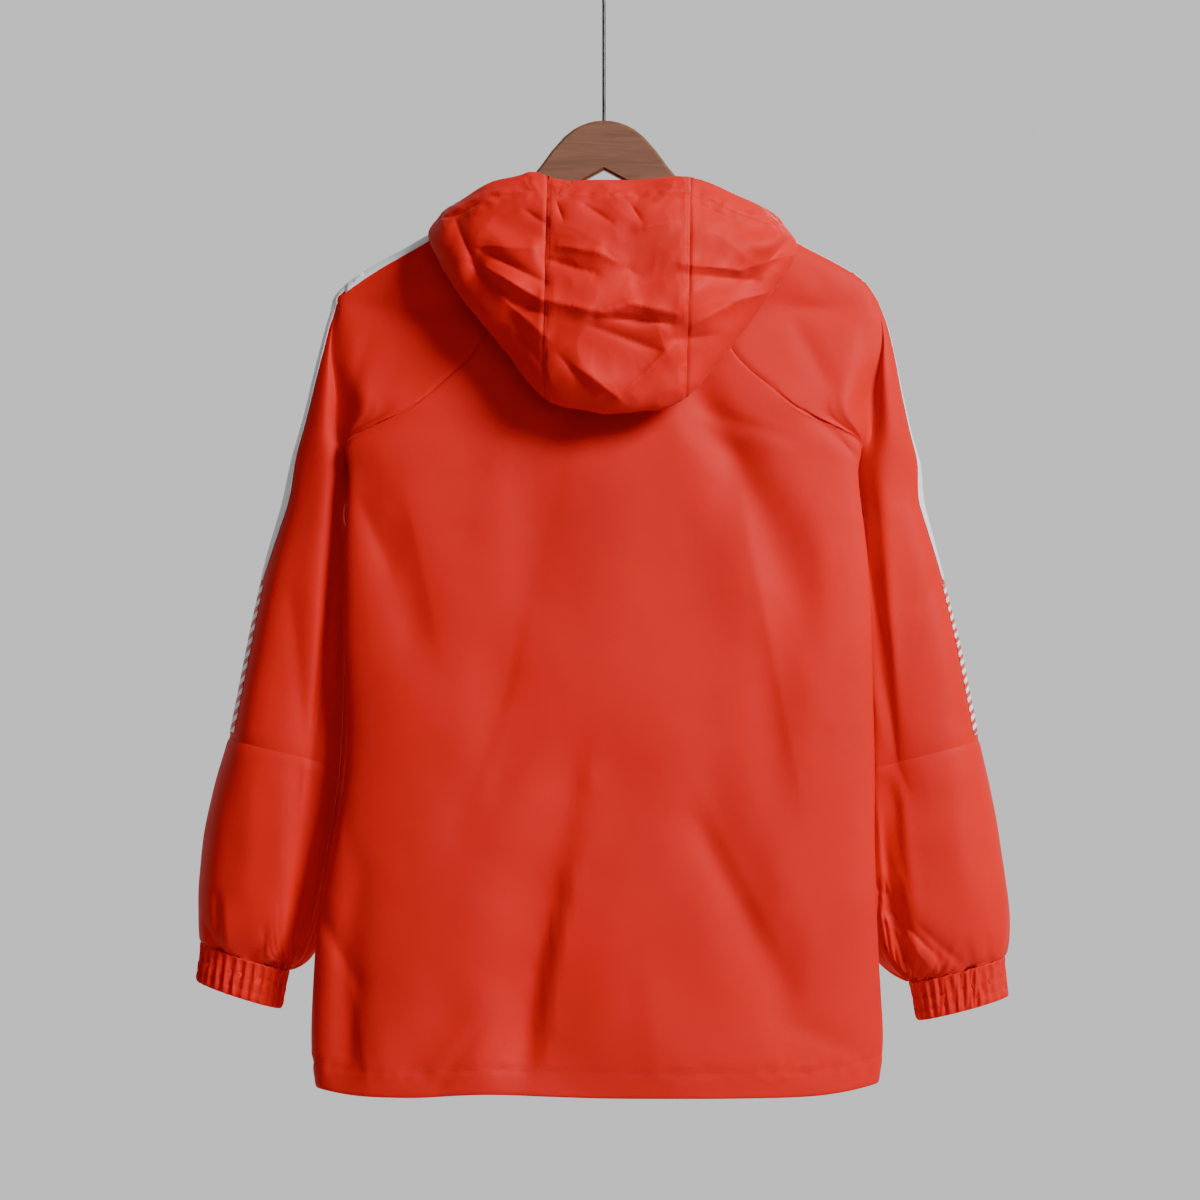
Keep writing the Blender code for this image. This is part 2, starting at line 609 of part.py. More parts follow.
def spread(a, b, count):
    """Evenly spaced values from a to b."""
    return np.linspace(a, b, count)


# ---- pieces ---------------------------------------------------------------------------------
LOWER_ROWS = (-961, -952, -930, -895, -860, -820, -780, -740, -695, -650, -605, -560, -515, -472)
BODY_ROWS = LOWER_ROWS + ARMHOLE_LEVELS[::-1] + SHOULDER_LEVELS[::-1]


def zip_turn(side):
    """Turn of a front's edge beside the zip, as a function of height."""
    def turn(z):
        half = column(BODY, BODY_COLUMNS, "right" if side > 0 else "left", z)
        quarter = np.arccos((ZIP_HALF / half) ** (FRONT_ROUND / 2)) / (2 * math.pi)
        return 1 - quarter if side > 0 else 0.5 + quarter
    return turn


def make_body():
    """The back and the two fronts."""
    rows = np.array(BODY_ROWS, float)
    vs = spread(0, 1, len(rows))
    back_drop = lambda u: 12 * np.sin(math.pi * np.clip(u, 0, 1)) ** 0.8
    back = body_panel(lambda z: seam_turn(1, "back", z), lambda z: seam_turn(-1, "back", z),
                      rows, -330, back_drop)
    panel("back", back, spread(0, 1, 29), vs, "red_nylon", flip=-1)
    rows = np.array([z for z in BODY_ROWS if z < -250], float)
    vs = spread(0, 1, len(rows))
    left = body_panel(lambda z: seam_turn(-1, "front", z), zip_turn(-1), rows, -373,
                      lambda u: 33 * np.clip(u, 0, 1) ** 0.7)
    right = body_panel(zip_turn(1), lambda z: seam_turn(1, "front", z), rows, -373,
                       lambda u: 33 * (1 - np.clip(u, 0, 1)) ** 0.7)
    panel("front_left", left, spread(0, 1, 10), vs, "red_nylon", flip=-1)
    panel("front_right", right, spread(0, 1, 10), vs, "red_nylon", flip=-1)


SLEEVE_COLS = (2, 2, 1, 2, 2, 2, 2, 2, 2, 1, 2, 2)   # columns between the guide points


def make_sleeves():
    """Upper and lower sleeve, cuff, tape and trim of each side."""
    for side, word in ((1, "right"), (-1, "left")):
        rows = sleeve_rows(side)
        surface = sleeve(side, rows)
        elbow = CAP_ROWS + ELBOW_ROW
        last = len(rows) - 1
        us = np.concatenate([[0]] + [spread(k, k + 1, n + 1)[1:] for k, n in enumerate(SLEEVE_COLS)])
        us = us / (SLEEVE_POINTS - 1)
        upper = np.concatenate([np.arange(CAP_ROWS), spread(CAP_ROWS, elbow, 7)])
        levels = np.array([z for z in SHOULDER_LEVELS + ARMHOLE_LEVELS if z > SEAM_TURNS_IN], float)
        shared = [body_inward(seam_turn(side, face, levels), levels) for face in ("back", "front")]
        panel(f"sleeve_upper_{word}", surface, us, upper, "red_nylon", ends=(0, SEAM_HALF),
              flip=-side, shared=shared, saddle=(CAP_ROWS - 1, (side * 0.62, 0.40, 0.67)))
        panel(f"sleeve_lower_{word}", surface, us, spread(elbow, last, 9), "red_nylon",
              ends=(SEAM_HALF, SEAM_HALF), flip=-side)


def make_cuffs():
    """Elasticated cuffs: closed bands gathered all round, one under each sleeve."""
    turn = np.arange(2 * CUFF_GATHERS) / (2 * CUFF_GATHERS) * 2 * math.pi
    wave = CUFF_WAVE * np.where(np.arange(2 * CUFF_GATHERS) % 2, 1.0, -1.0)
    for side, word, table in ((1, "right", SLEEVE_RIGHT), (-1, "left", SLEEVE_LEFT)):
        z, tilt, inner, outer, back, front = table[-1]
        middle_x, middle_y = (inner + outer) / 2, (back + front) / 2
        layers = []
        for sunk in (0.0, CLOTH):
            rings = []
            for down, shrink, deep in ((0, 0.3, 0.3), (0.22, 2.0, 1.0), (0.8, 2.5, 1.0), (1, 2.5, 0.5)):
                half_x = (outer - inner) / 2 - shrink - sunk + wave * deep
                half_y = (front - back) / 2 - shrink - sunk + wave * deep
                x = half_x * np.cos(turn)
                ring_z = z - 2 * SEAM_HALF - CUFF_HEIGHT * down + x * math.tan(math.radians(tilt))
                rings.append(np.stack([side * (middle_x + CUFF_LEAN * down + x),
                                       middle_y + half_y * np.sin(turn), ring_z], -1))
            layers.append(np.array(rings))
        wall(f"cuff_{word}", layers[0], layers[1], "red_nylon", closed=True)


def strip(name, surface, side, us, vs, finish):
    """Tape sewn on a sleeve: a thin wall just above its surface."""
    u, v = np.meshgrid(us, vs)
    base = surface(u, v)
    outward = -side * normals(surface, u, v)
    wall(name, base + outward * (LAP + TRIM_WALL), base + outward * LAP, finish)


def make_strips():
    """White tape down each sleeve's outer line and a narrow trim below it."""
    for side, word in ((1, "right"), (-1, "left")):
        surface = sleeve(side, sleeve_rows(side))
        first = CAP_ROWS + 2
        vs = np.concatenate([np.arange(5, CAP_ROWS), spread(CAP_ROWS, first, 4)])
        strip(f"sleeve_tape_{word}", surface, side, np.array((5, 5.5, 6, 6.5)) / 12, vs, "white_tape")
        vs = (first + 0.06, first + 2 / 3, first + 4 / 3, first + 1.92)
        strip(f"sleeve_trim_{word}", surface, side, np.array((5.44, 5.5, 5.82)) / 12, vs, "white_tape")


def make_hood():
    """Centre panel and two sides."""
    vs = np.array([0, 0.3, 0.65, 1, 1.4, 1.8, 2.2, 2.6, 3, 3.4, 3.8, 4.2, 4.7, 5.3, 6])
    last = len(HOOD) - 1
    for name, start, end, columns in (("hood_side_left", 0, HOOD_SEAM_LEFT, 15),
                                      ("hood_centre", HOOD_SEAM_LEFT, HOOD_SEAM_RIGHT, 11),
                                      ("hood_side_right", HOOD_SEAM_RIGHT, last, 15)):
        panel(name, hood, spread(start, end, columns), vs, "red_nylon", flip=-1, gap=0.3)


def make_zip():
    """Zip tapes under the fronts' edges, and the slider with its pull tab at the neck."""
    rows = np.array([-947.0] + [z for z in BODY_ROWS if -940 < z < -250], float)
    for side, word in ((1, "right"), (-1, "left")):
        share = np.clip((rows + 373) / (rows[-1] + 373), 0, 1)
        z = rows - 36 * share
        near_hem = np.clip((HEM + 120 - z) / 120, 0, 1)
        grid = []
        for x in (ZIP_CHAIN, ZIP_HALF, ZIP_TAPE_OUT):
            half = column(BODY, BODY_COLUMNS, "right" if side > 0 else "left", z)
            quarter = np.arccos((x / half) ** (FRONT_ROUND / 2)) / (2 * math.pi)
            points = body(1 - quarter if side > 0 else 0.5 + quarter, z)
            points[:, 2] += hem_lift(points[:, 0]) * near_hem
            grid.append(points)
        grid = np.stack(grid, 1)
        outer, inner = grid.copy(), grid.copy()
        outer[..., 1] -= ZIP_TAPE_UNDER
        inner[..., 1] -= ZIP_TAPE_UNDER + TRIM_WALL
        wall(f"zip_tape_{word}", outer, inner, "zip_tape")

    face = float(body(0.75, SLIDER_Z)[1]) - ZIP_TAPE_UNDER + 0.5
    out = face + 4.5
    top, low = SLIDER_Z + 5, SLIDER_Z - 6
    slider = framed("zip_slider", ((-4.5, low), (4.5, low), (4.5, top), (-4.5, top)), None, face, out,
                    "zip_metal")
    bridge = framed("bridge", ((out - 0.6, SLIDER_Z - 3.6), (out + BRIDGE_OUT, SLIDER_Z - 3.6),
                               (out + BRIDGE_OUT, SLIDER_Z + 3.6), (out - 0.6, SLIDER_Z + 3.6)),
                    ((out + 1.2, SLIDER_Z - 1.9), (out + 4.2, SLIDER_Z - 1.9),
                     (out + 4.2, SLIDER_Z + 1.9), (out + 1.2, SLIDER_Z + 1.9)),
                    -1.5, 1.5, "zip_metal", along="x")
    combine(slider, bridge, "UNION")
    hinge = out + 2.7
    tip = SLIDER_Z + 0.8 - PULL_LENGTH
    framed("zip_pull_tab", ((-3.4, tip), (3.4, tip), (3.4, SLIDER_Z + 0.8), (-3.4, SLIDER_Z + 0.8)),
           ((-2.1, SLIDER_Z - 5.4), (2.1, SLIDER_Z - 5.4), (2.1, SLIDER_Z - 0.8),
            (-2.1, SLIDER_Z - 0.8)), hinge - PULL_WALL / 2, hinge + PULL_WALL / 2, "zip_metal")


def framed(name, outline, window, low, high, finish, along="y"):
    """Plate with an optional four-cornered window, its outline drawn across the way it is thick."""
    def place(a, b, depth):
        return (a, depth, b) if along == "y" else (depth, a, b)
    n = len(outline)
    loops = [outline] + ([window] if window else [])
    points = [place(a, b, d) for d in (low, high) for loop in loops for a, b in loop]
    size = n * len(loops)
    faces = []
    for k in range(n):
        m = (k + 1) % n
        faces.append((k, m, size + m, size + k))
        if window:
            faces += [(n + m, n + k, size + n + k, size + n + m),
                      (k, n + k, n + m, m), (size + k, size + m, size + n + m, size + n + k)]
    if not window:
        faces += [tuple(range(n))[::-1], tuple(range(n, 2 * n))]
    return add_mesh(name, points, faces, finish)


def apply_modifiers(thing):
    """Bake an object's modifiers into its mesh."""
    bpy.context.view_layer.objects.active = thing
    for modifier in list(thing.modifiers):
        bpy.ops.object.modifier_apply(modifier=modifier.name)


def combine(thing, tool, operation):
    """Join a tool into a piece, or cut it out of the piece, and remove the tool."""
    modifier = thing.modifiers.new("combine", "BOOLEAN")
    modifier.object = tool
    modifier.operation = operation
    modifier.solver = "EXACT"
    apply_modifiers(thing)
    bpy.data.objects.remove(tool, do_unlink=True)


def tube(name, path, radius, sides, finish):
    """Round wire along a path that lies in the XZ plane."""
    path = np.array([(x, 0.0, z) for x, z in path])
    ahead = unit(np.gradient(path, axis=0))
    across = np.stack([-ahead[:, 2], 0 * ahead[:, 0], ahead[:, 0]], -1)
    turn = np.arange(sides) / sides * 2 * math.pi
    swing, depth = np.cos(turn)[None, :, None], np.sin(turn)[None, :, None]
    ring = across[:, None] * swing + np.array((0, 1.0, 0)) * depth
    points = (path[:, None] + ring * radius).reshape(-1, 3)
    faces = [tuple(range(sides)), tuple(range(len(points) - sides, len(points)))[::-1]]
    for i in range(len(path) - 1):
        for j in range(sides):
            m = (j + 1) % sides
            faces.append((i * sides + j, i * sides + m, (i + 1) * sides + m, (i + 1) * sides + j))
    return add_mesh(name, points, faces, finish)


def make_hanger():
    """Flat wooden hanger with a wire hook whose shank stands in a bore."""
    upper = [(x, HANGER_TOP + top) for x, top, _ in ARM]
    lower = [(x, HANGER_TOP + bottom) for x, _, bottom in ARM]
    outline = [(-x, z) for x, z in upper[:0:-1]] + upper + lower[::-1] + [(-x, z) for x, z in lower[1:]]
    wood = framed("hanger_wood", outline, None, -HANGER_THICK / 2, HANGER_THICK / 2, "hanger_wood")
    bevel = wood.modifiers.new("edges", "BEVEL")
    bevel.width = 2 * MM
    bevel.segments = 1
    bevel.limit_method = "ANGLE"
    bevel.angle_limit = math.radians(60)
    apply_modifiers(wood)
    bottom = HANGER_TOP - WOOD_BORE_DEPTH
    cutter = tube("bore", ((0, bottom - 0.5), (0, HANGER_TOP + 5)), WIRE_R + 0.4, 8, "hanger_wood")
    combine(wood, cutter, "DIFFERENCE")

    centre = -(HOOK_R - WIRE_R)
    arc = [(HOOK_R * math.cos(math.radians(a)), centre + HOOK_R * math.sin(math.radians(a)))
           for a in np.linspace(-20, 225, 19)]
    fillet = [(-8.5, -41.9), (-3.6, -47.0), (-1.2, -50.6), (-0.2, -55.0), (0, -60.0)]
    tube("hanger_hook", arc + fillet + [(0, bottom)], WIRE_R, 8, "black_wire")


def main():
    for thing in list(bpy.data.objects):
        bpy.data.objects.remove(thing, do_unlink=True)
    make_body()
    make_sleeves()
    make_cuffs()
    make_strips()
    make_hood()
    make_zip()
    make_hanger()


main()
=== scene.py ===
# %% [markdown]
# # Hooded windbreaker on a wooden hanger
# The jacket is seen from behind: a thin red nylon shell with raglan sleeves, gathered cuffs and a
# hood that has slumped over the back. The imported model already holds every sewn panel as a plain
# wall. Here each panel becomes thin cloth on that wall's outer face, and the folds, gathers,
# stitching and finishes are added where the photograph shows them.

# %% Load the frame
import math

import bmesh
import bpy
import numpy as np
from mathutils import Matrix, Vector, noise
from mathutils.bvhtree import BVHTree
from mathutils.kdtree import KDTree


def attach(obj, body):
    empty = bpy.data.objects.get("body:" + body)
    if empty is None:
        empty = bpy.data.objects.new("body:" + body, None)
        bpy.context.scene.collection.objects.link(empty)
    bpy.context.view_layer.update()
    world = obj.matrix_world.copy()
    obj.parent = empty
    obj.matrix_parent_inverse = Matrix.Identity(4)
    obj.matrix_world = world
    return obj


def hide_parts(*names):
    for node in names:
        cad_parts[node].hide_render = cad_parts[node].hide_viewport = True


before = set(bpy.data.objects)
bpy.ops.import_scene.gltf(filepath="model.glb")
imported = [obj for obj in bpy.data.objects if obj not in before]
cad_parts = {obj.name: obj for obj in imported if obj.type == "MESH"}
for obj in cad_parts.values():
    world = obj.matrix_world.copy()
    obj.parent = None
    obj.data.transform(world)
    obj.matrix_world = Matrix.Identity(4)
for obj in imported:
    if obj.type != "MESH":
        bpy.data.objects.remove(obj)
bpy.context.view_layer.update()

MM = 0.001
SIDES = {"left": -1, "right": 1}      # as seen from behind, with the way along X

# %% [markdown]
# ## Camera, floor and light
# The photograph is square on to the back, from about 3 m with a longish lens, so the sleeves keep
# their widths. Studio light comes softly from the upper right, with a weaker fill from the left.
# The plain world stands for the pale wall. Big area lights give the wide, soft highlights that
# nylon shows; small ones would draw hard streaks.

# %% Camera
CAMERA_AWAY = 3.0
VIEW_MIDDLE = (-0.0033, -0.5546)      # x and z of the picture's middle
camera_data = bpy.data.cameras.new("camera")
camera_data.sensor_width = 36
camera_data.lens = 108.4
camera = bpy.data.objects.new("camera", camera_data)
camera.location = (VIEW_MIDDLE[0], -CAMERA_AWAY, VIEW_MIDDLE[1])
camera.rotation_euler = (math.pi / 2, 0, 0)
bpy.context.scene.collection.objects.link(camera)
bpy.context.scene.camera = camera


# %% Lights, world and floor
def area_light(name, place, size, watts):
    """Square soft box that faces the middle of the garment."""
    bpy.ops.object.light_add(type="AREA", location=place)
    light = bpy.context.object
    light.name = name
    light.data.size = size
    light.data.energy = watts
    aim = Vector((0, 0, -0.55)) - Vector(place)
    light.rotation_euler = aim.to_track_quat("-Z", "Y").to_euler()
    return light


# Name, place (m), edge of the soft box (m), power (W)
area_light("key", (2.2, -1.9, 1.2), 1.0, 172)
area_light("fill", (0.2, -3.0, 0.7), 1.8, 12)
area_light("behind", (0.6, 2.4, 0.6), 1.6, 34)

WALL_LIGHT, ROOM_LIGHT = 0.76, 0.14      # strength towards the wall, and from the room behind us
world = bpy.data.worlds.new("plain wall")
world.use_nodes = True
sky, room = world.node_tree, world.node_tree.nodes["Background"]
facing = sky.nodes.new("ShaderNodeTexCoord")
split = sky.nodes.new("ShaderNodeSeparateXYZ")
wall_side = sky.nodes.new("ShaderNodeMapRange")
wall_side.interpolation_type = "SMOOTHSTEP"
wall_side.inputs["From Min"].default_value = -0.15
wall_side.inputs["From Max"].default_value = 0.75
wall_side.inputs["To Min"].default_value = ROOM_LIGHT
wall_side.inputs["To Max"].default_value = WALL_LIGHT
sky.links.new(facing.outputs["Generated"], split.inputs["Vector"])
sky.links.new(split.outputs["Y"], wall_side.inputs["Value"])
sky.links.new(wall_side.outputs["Result"], room.inputs["Strength"])
room.inputs["Color"].default_value = (1.0, 1.0, 1.0, 1)
bpy.context.scene.world = world

bpy.ops.mesh.primitive_cylinder_add(vertices=96, radius=1.2, depth=0.02, location=(0, 0, -1.42))
floor = bpy.context.object
floor.name = "floor"

# %% [markdown]
# ## Materials
# Nylon taffeta is a tight plain weave with a faint sheen. From a step away the threads melt into a
# very fine grain, so the weave is a small bump, and broad noise shifts the red a little, as light
# does on slack cloth. Thread count, sheen and colour sit in one function, so every red panel
# matches as if cut from one roll.


# %% Material helpers
def shader_of(name):
    """New material, its node tree and Principled shader, and the piece's own coordinates."""
    made = bpy.data.materials.new(name)
    made.use_nodes = True
    tree = made.node_tree
    return made, tree, tree.nodes["Principled BSDF"], tree.nodes.new("ShaderNodeTexCoord").outputs["Object"]


def add(tree, kind, **sockets):
    """Node of that kind with its named input values set."""
    node = tree.nodes.new(kind)
    for key, value in sockets.items():
        node.inputs[key.replace("_", " ")].default_value = value
    return node


def colour_by(tree, shader, pattern, stops):
    """Colour a shader by a pattern, through a ramp of (place, colour) stops."""
    tone = tree.nodes.new("ShaderNodeValToRGB")
    elements = tone.color_ramp.elements
    elements[0].position, elements[0].color = stops[0]
    elements[1].position, elements[1].color = stops[-1]
    for place, colour in stops[1:-1]:
        elements.new(place).color = colour
    tree.links.new(pattern, tone.inputs["Fac"])
    tree.links.new(tone.outputs["Color"], shader.inputs["Base Color"])


def gloss_by(tree, shader, pattern, low, high):
    """Vary a shader's roughness with a pattern, between two values."""
    gloss = add(tree, "ShaderNodeMapRange", To_Min=low, To_Max=high)
    tree.links.new(pattern, gloss.inputs["Value"])
    tree.links.new(gloss.outputs["Result"], shader.inputs["Roughness"])


def bump_by(tree, pattern, strength, distance, onto):
    """Turn a pattern into small relief and pass it on to a shader or a coarser bump."""
    bump = add(tree, "ShaderNodeBump", Strength=strength, Distance=distance)
    tree.links.new(pattern, bump.inputs["Height"])
    tree.links.new(bump.outputs["Normal"], onto.inputs["Normal"])
    return bump


def nylon(name, deep, middle, bright, rough):
    """Plain-weave nylon: shifting reds, a fine weave bump and a soft sheen."""
    made, tree, shader, place = shader_of(name)
    link = tree.links.new
    broad = add(tree, "ShaderNodeTexNoise", Scale=5.0, Detail=3.0, Roughness=0.55)
    link(place, broad.inputs["Vector"])
    colour_by(tree, shader, broad.outputs["Fac"], ((0.25, deep), (0.5, middle), (0.78, bright)))
    worn = add(tree, "ShaderNodeTexNoise", Scale=22.0, Detail=5.0, Roughness=0.6)
    link(place, worn.inputs["Vector"])
    gloss_by(tree, shader, worn.outputs["Fac"], rough - 0.07, rough + 0.08)
    weave = tree.nodes.new("ShaderNodeMath")
    weave.operation = "MULTIPLY"
    for k, axis in enumerate("XZ"):
        threads = add(tree, "ShaderNodeTexWave", Scale=340.0, Distortion=0.6, Detail=1.0)
        threads.bands_direction = axis
        link(place, threads.inputs["Vector"])
        link(threads.outputs["Fac"], weave.inputs[k])
    slack = add(tree, "ShaderNodeTexNoise", Scale=60.0, Detail=4.0, Roughness=0.55)
    link(place, slack.inputs["Vector"])
    coarse = bump_by(tree, slack.outputs["Fac"], 0.22, 0.0012, shader)
    bump_by(tree, weave.outputs["Value"], 0.12, 0.0002, coarse)
    shader.inputs["Sheen Weight"].default_value = 0.04
    shader.inputs["Sheen Roughness"].default_value = 0.45
    shader.inputs["Specular IOR Level"].default_value = 0.25
    return made


red_nylon = nylon("red nylon", (0.60, 0.0035, 0.0012, 1), (0.68, 0.004, 0.0014, 1),
                  (0.76, 0.005, 0.0018, 1), 0.64)


def woven(name, colour, shade, scale, rough):
    """Flat woven tape: fine cross ribs that catch the light, with painted shade darkening the colour in the
    grooves between them.
    """
    made, tree, shader, place = shader_of(name)
    ribs = add(tree, "ShaderNodeTexWave", Scale=scale, Distortion=0.8, Detail=2.0)
    ribs.bands_direction = "Z"
    tree.links.new(place, ribs.inputs["Vector"])
    # Painted shade: the colour drops to the shade colour in the ribs' grooves, following the bump.
    colour_by(tree, shader, ribs.outputs["Fac"], ((0.0, shade), (1.0, colour)))
    bump_by(tree, ribs.outputs["Fac"], 0.25, 0.0003, shader)
    shader.inputs["Roughness"].default_value = rough
    shader.inputs["Sheen Weight"].default_value = 0.1
    return made


pale_floor = nylon("painted floor", (0.60, 0.60, 0.60, 1), (0.62, 0.62, 0.62, 1),
                   (0.64, 0.64, 0.64, 1), 0.7)      # the same fine uneven surface, matt and pale
floor.data.materials.append(pale_floor)
# Each woven finish takes its own colour and a darker painted shade for its rib grooves.
white_tape = woven("white tape", (0.93, 0.92, 0.96, 1), (0.82, 0.81, 0.86, 1), 260.0, 0.6)


def hatched(name, ground, line, period):
    """Woven tape with slanted bars, the bars a given period apart in mm."""
    made, tree, shader, place = shader_of(name)
    slant = add(tree, "ShaderNodeMapping", Rotation=(0.0, math.radians(40), 0.0))
    tree.links.new(place, slant.inputs["Vector"])
    bars = add(tree, "ShaderNodeTexWave", Scale=1000 / period / 20 * math.pi, Distortion=0.15, Detail=1.0)
    bars.bands_direction = "Z"
    tree.links.new(slant.outputs["Vector"], bars.inputs["Vector"])
    colour_by(tree, shader, bars.outputs["Fac"], ((0.42, ground), (0.58, line)))
    bump_by(tree, bars.outputs["Fac"], 0.3, 0.0003, shader)
    gloss_by(tree, shader, bars.outputs["Fac"], 0.52, 0.66)
    return made


hatch_tape = hatched("hatched tape", (0.62, 0.05, 0.04, 1), (0.90, 0.84, 0.86, 1), 3.4)
zip_cloth = woven("zip tape", (0.45, 0.022, 0.014, 1), (0.34, 0.015, 0.010, 1), 300.0, 0.75)
print("materials:", [m.name for m in bpy.data.materials if m.users == 0 or m.use_nodes][:12])

# %% [markdown]
# ## From wall to cloth
# Each packed panel is a closed wall 1.3 mm thick. A tailor's cloth is a single thin layer, so the
# wall's rim and inner face are deleted and the outer face is turned back into quads, then smoothed
# and made fine with a Subdivision Surface. Working on the panel that is there keeps every seam
# where the pattern put it.

# %% Sheet tools
WALL = 1.3 * MM


def select_only(thing):
    """Make one object the selected and active one."""
    bpy.ops.object.select_all(action="DESELECT")
    thing.select_set(True)
    bpy.context.view_layer.objects.active = thing


def pass_through(sheet):
    """Shift the coarse points until the smoothed cloth passes through where they were."""
    aim = np.array([v.co for v in sheet.data.vertices])
    coarse = aim.copy()
    for _ in range(4):
        smoothed = sheet.evaluated_get(bpy.context.evaluated_depsgraph_get()).data
        reached = np.array([v.co for v in smoothed.vertices[:len(aim)]])
        coarse += 0.9 * (aim - reached)
        sheet.data.vertices.foreach_set("co", coarse.ravel())
        sheet.data.update()


def outer_sheet(node, name, seen_from, levels=3, wall=(0.998 * WALL, 1.002 * WALL)):
    """Outer face of a packed wall as fine cloth. seen_from points out of that face."""
    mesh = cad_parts[node].data.copy()
    sheet = bpy.data.objects.new(name, mesh)
    bpy.context.scene.collection.objects.link(sheet)
    select_only(sheet)
    bpy.ops.object.mode_set(mode="EDIT")
    bpy.ops.mesh.customdata_custom_splitnormals_clear()
    bpy.ops.mesh.select_all(action="SELECT")
    bpy.ops.mesh.remove_doubles(threshold=0.02 * MM)
    bpy.ops.mesh.select_all(action="DESELECT")
    made = bmesh.from_edit_mesh(mesh)
    rim = [f for f in made.faces if any(wall[0] < e.calc_length() < wall[1] for e in f.edges)]
    bmesh.ops.delete(made, geom=rim, context="FACES")
    out = Vector(seen_from)
    first = max(made.faces, key=lambda f: f.calc_center_median().dot(out) + 2 * MM * f.normal.dot(out))
    island, fresh = {first}, {first}
    while fresh:
        fresh = {f for face in fresh for e in face.edges for f in e.link_faces} - island
        island |= fresh
    bmesh.ops.delete(made, geom=[f for f in made.faces if f not in island], context="FACES")
    bmesh.update_edit_mesh(mesh)
    bpy.ops.mesh.select_all(action="SELECT")
    bpy.ops.mesh.tris_convert_to_quads(face_threshold=math.radians(75), shape_threshold=math.radians(110))
    bpy.ops.object.mode_set(mode="OBJECT")
    smooth = sheet.modifiers.new("smooth", "SUBSURF")
    smooth.levels = smooth.render_levels = levels
    smooth.boundary_smooth = "PRESERVE_CORNERS"
    pass_through(sheet)
    bpy.ops.object.modifier_apply(modifier=smooth.name)
    bpy.ops.object.shade_smooth()
    mesh.materials.clear()
    print(name, len(mesh.polygons), "quads")
    return sheet


def read(thing):
    """Vertex places and normals in millimetres."""
    count = len(thing.data.vertices)
    places, normals = np.empty(3 * count), np.empty(3 * count)
    thing.data.vertices.foreach_get("co", places)
    thing.data.vertices.foreach_get("normal", normals)
    return places.reshape(-1, 3) / MM, normals.reshape(-1, 3)


def write(thing, places):
    """Put changed places, in millimetres, back into the mesh."""
    thing.data.vertices.foreach_set("co", (places * MM).ravel())
    thing.data.update()


def fold_sum(x, z, folds):
    """Depth at (x, z) of folds given as (x0, z0, x1, z1, half width, depth, edge).

    An edge of 2 is a round fold and 1 a crisp one. Depth is positive where the cloth sinks in.
    """
    depth = np.zeros(len(x))
    for x0, z0, x1, z1, half, deep, edge in folds:
        length = math.hypot(x1 - x0, z1 - z0)
        ax, az = (x1 - x0) / length, (z1 - z0) / length
        along = (x - x0) * ax + (z - z0) * az
        across = np.abs((x - x0) * az - (z - z0) * ax)
        t = np.clip(along / length, 0, 1)
        taper = 0.25 + 0.75 * np.sin(math.pi * np.clip(0.12 + 0.76 * t, 0, 1)) ** 0.8
        past = np.maximum(0, np.maximum(-along, along - length))
        depth += deep * taper * np.exp(-(across / half) ** edge - (past / (1.1 * half)) ** 2)
    return depth


def step_sum(x, z, steps):
    """Depth at (x, z) where cloth drops to the left of a crest and slowly comes back.

    Each step is (x0, z0, x1, z1, fall, return length, depth), and is softer at both ends.
    """
    depth = np.zeros(len(x))
    for x0, z0, x1, z1, fall, back_again, deep in steps:
        length = math.hypot(x1 - x0, z1 - z0)
        ax, az = (x1 - x0) / length, (z1 - z0) / length
        along = (x - x0) * ax + (z - z0) * az
        left = -((x - x0) * -az + (z - z0) * ax)
        t = np.clip(along / length, -0.5, 1.5)
        ends = np.clip(np.minimum(t + 0.35, 1.35 - t) / 0.6, 0, 1)
        ends = ends * ends * (3 - 2 * ends)
        off = np.maximum(left, 0)
        depth += deep * ends * (1 - np.exp(-off / fall)) * np.exp(-(off / back_again) ** 2)
    return depth


def press_steps(sheet, steps):
    """Let the side that faces the camera drop in steps."""
    places, normals = read(sheet)
    facing = np.clip(-normals[:, 1] * 1.3, 0, 1)
    places[:, 1] += step_sum(places[:, 0], places[:, 2], steps) * facing
    write(sheet, places)


def press_folds(sheet, folds, sink=(0, 1, 0)):
    """Press folds into the side of a sheet that faces away from the sink direction."""
    places, normals = read(sheet)
    facing = np.clip(-(normals @ np.array(sink, float)) * 1.3, 0, 1)
    depth = fold_sum(places[:, 0], places[:, 2], folds) * facing
    write(sheet, places + depth[:, None] * np.array(sink, float))


def tree_of(places):
    """Search tree that finds the nearest of some places."""
    tree = KDTree(len(places))
    for k, place in enumerate(places):
        tree.insert(place, k)
    tree.balance()
    return tree


def edge_distance(sheet):
    """Distance in millimetres from each vertex to the sheet's nearest cut edge."""
    made = bmesh.new()
    made.from_mesh(sheet.data)
    tree = tree_of([v.co.copy() for v in made.verts if v.is_boundary])
    far = np.array([tree.find(v.co)[2] for v in made.verts]) / MM
    made.free()
    return far


def edge_loops(made):
    """Cut edges of a bmesh, as closed lists of vertices in order."""
    left = {e.index: e for e in made.edges if e.is_boundary}
    loops = []
    while left:
        loop = list(left.pop(min(left)).verts)
        onward = True
        while onward:
            onward = [e for e in loop[-1].link_edges if e.index in left]
            if onward:
                loop.append(left.pop(onward[0].index).other_vert(loop[-1]))
        loops.append(loop[:-1])
    return loops


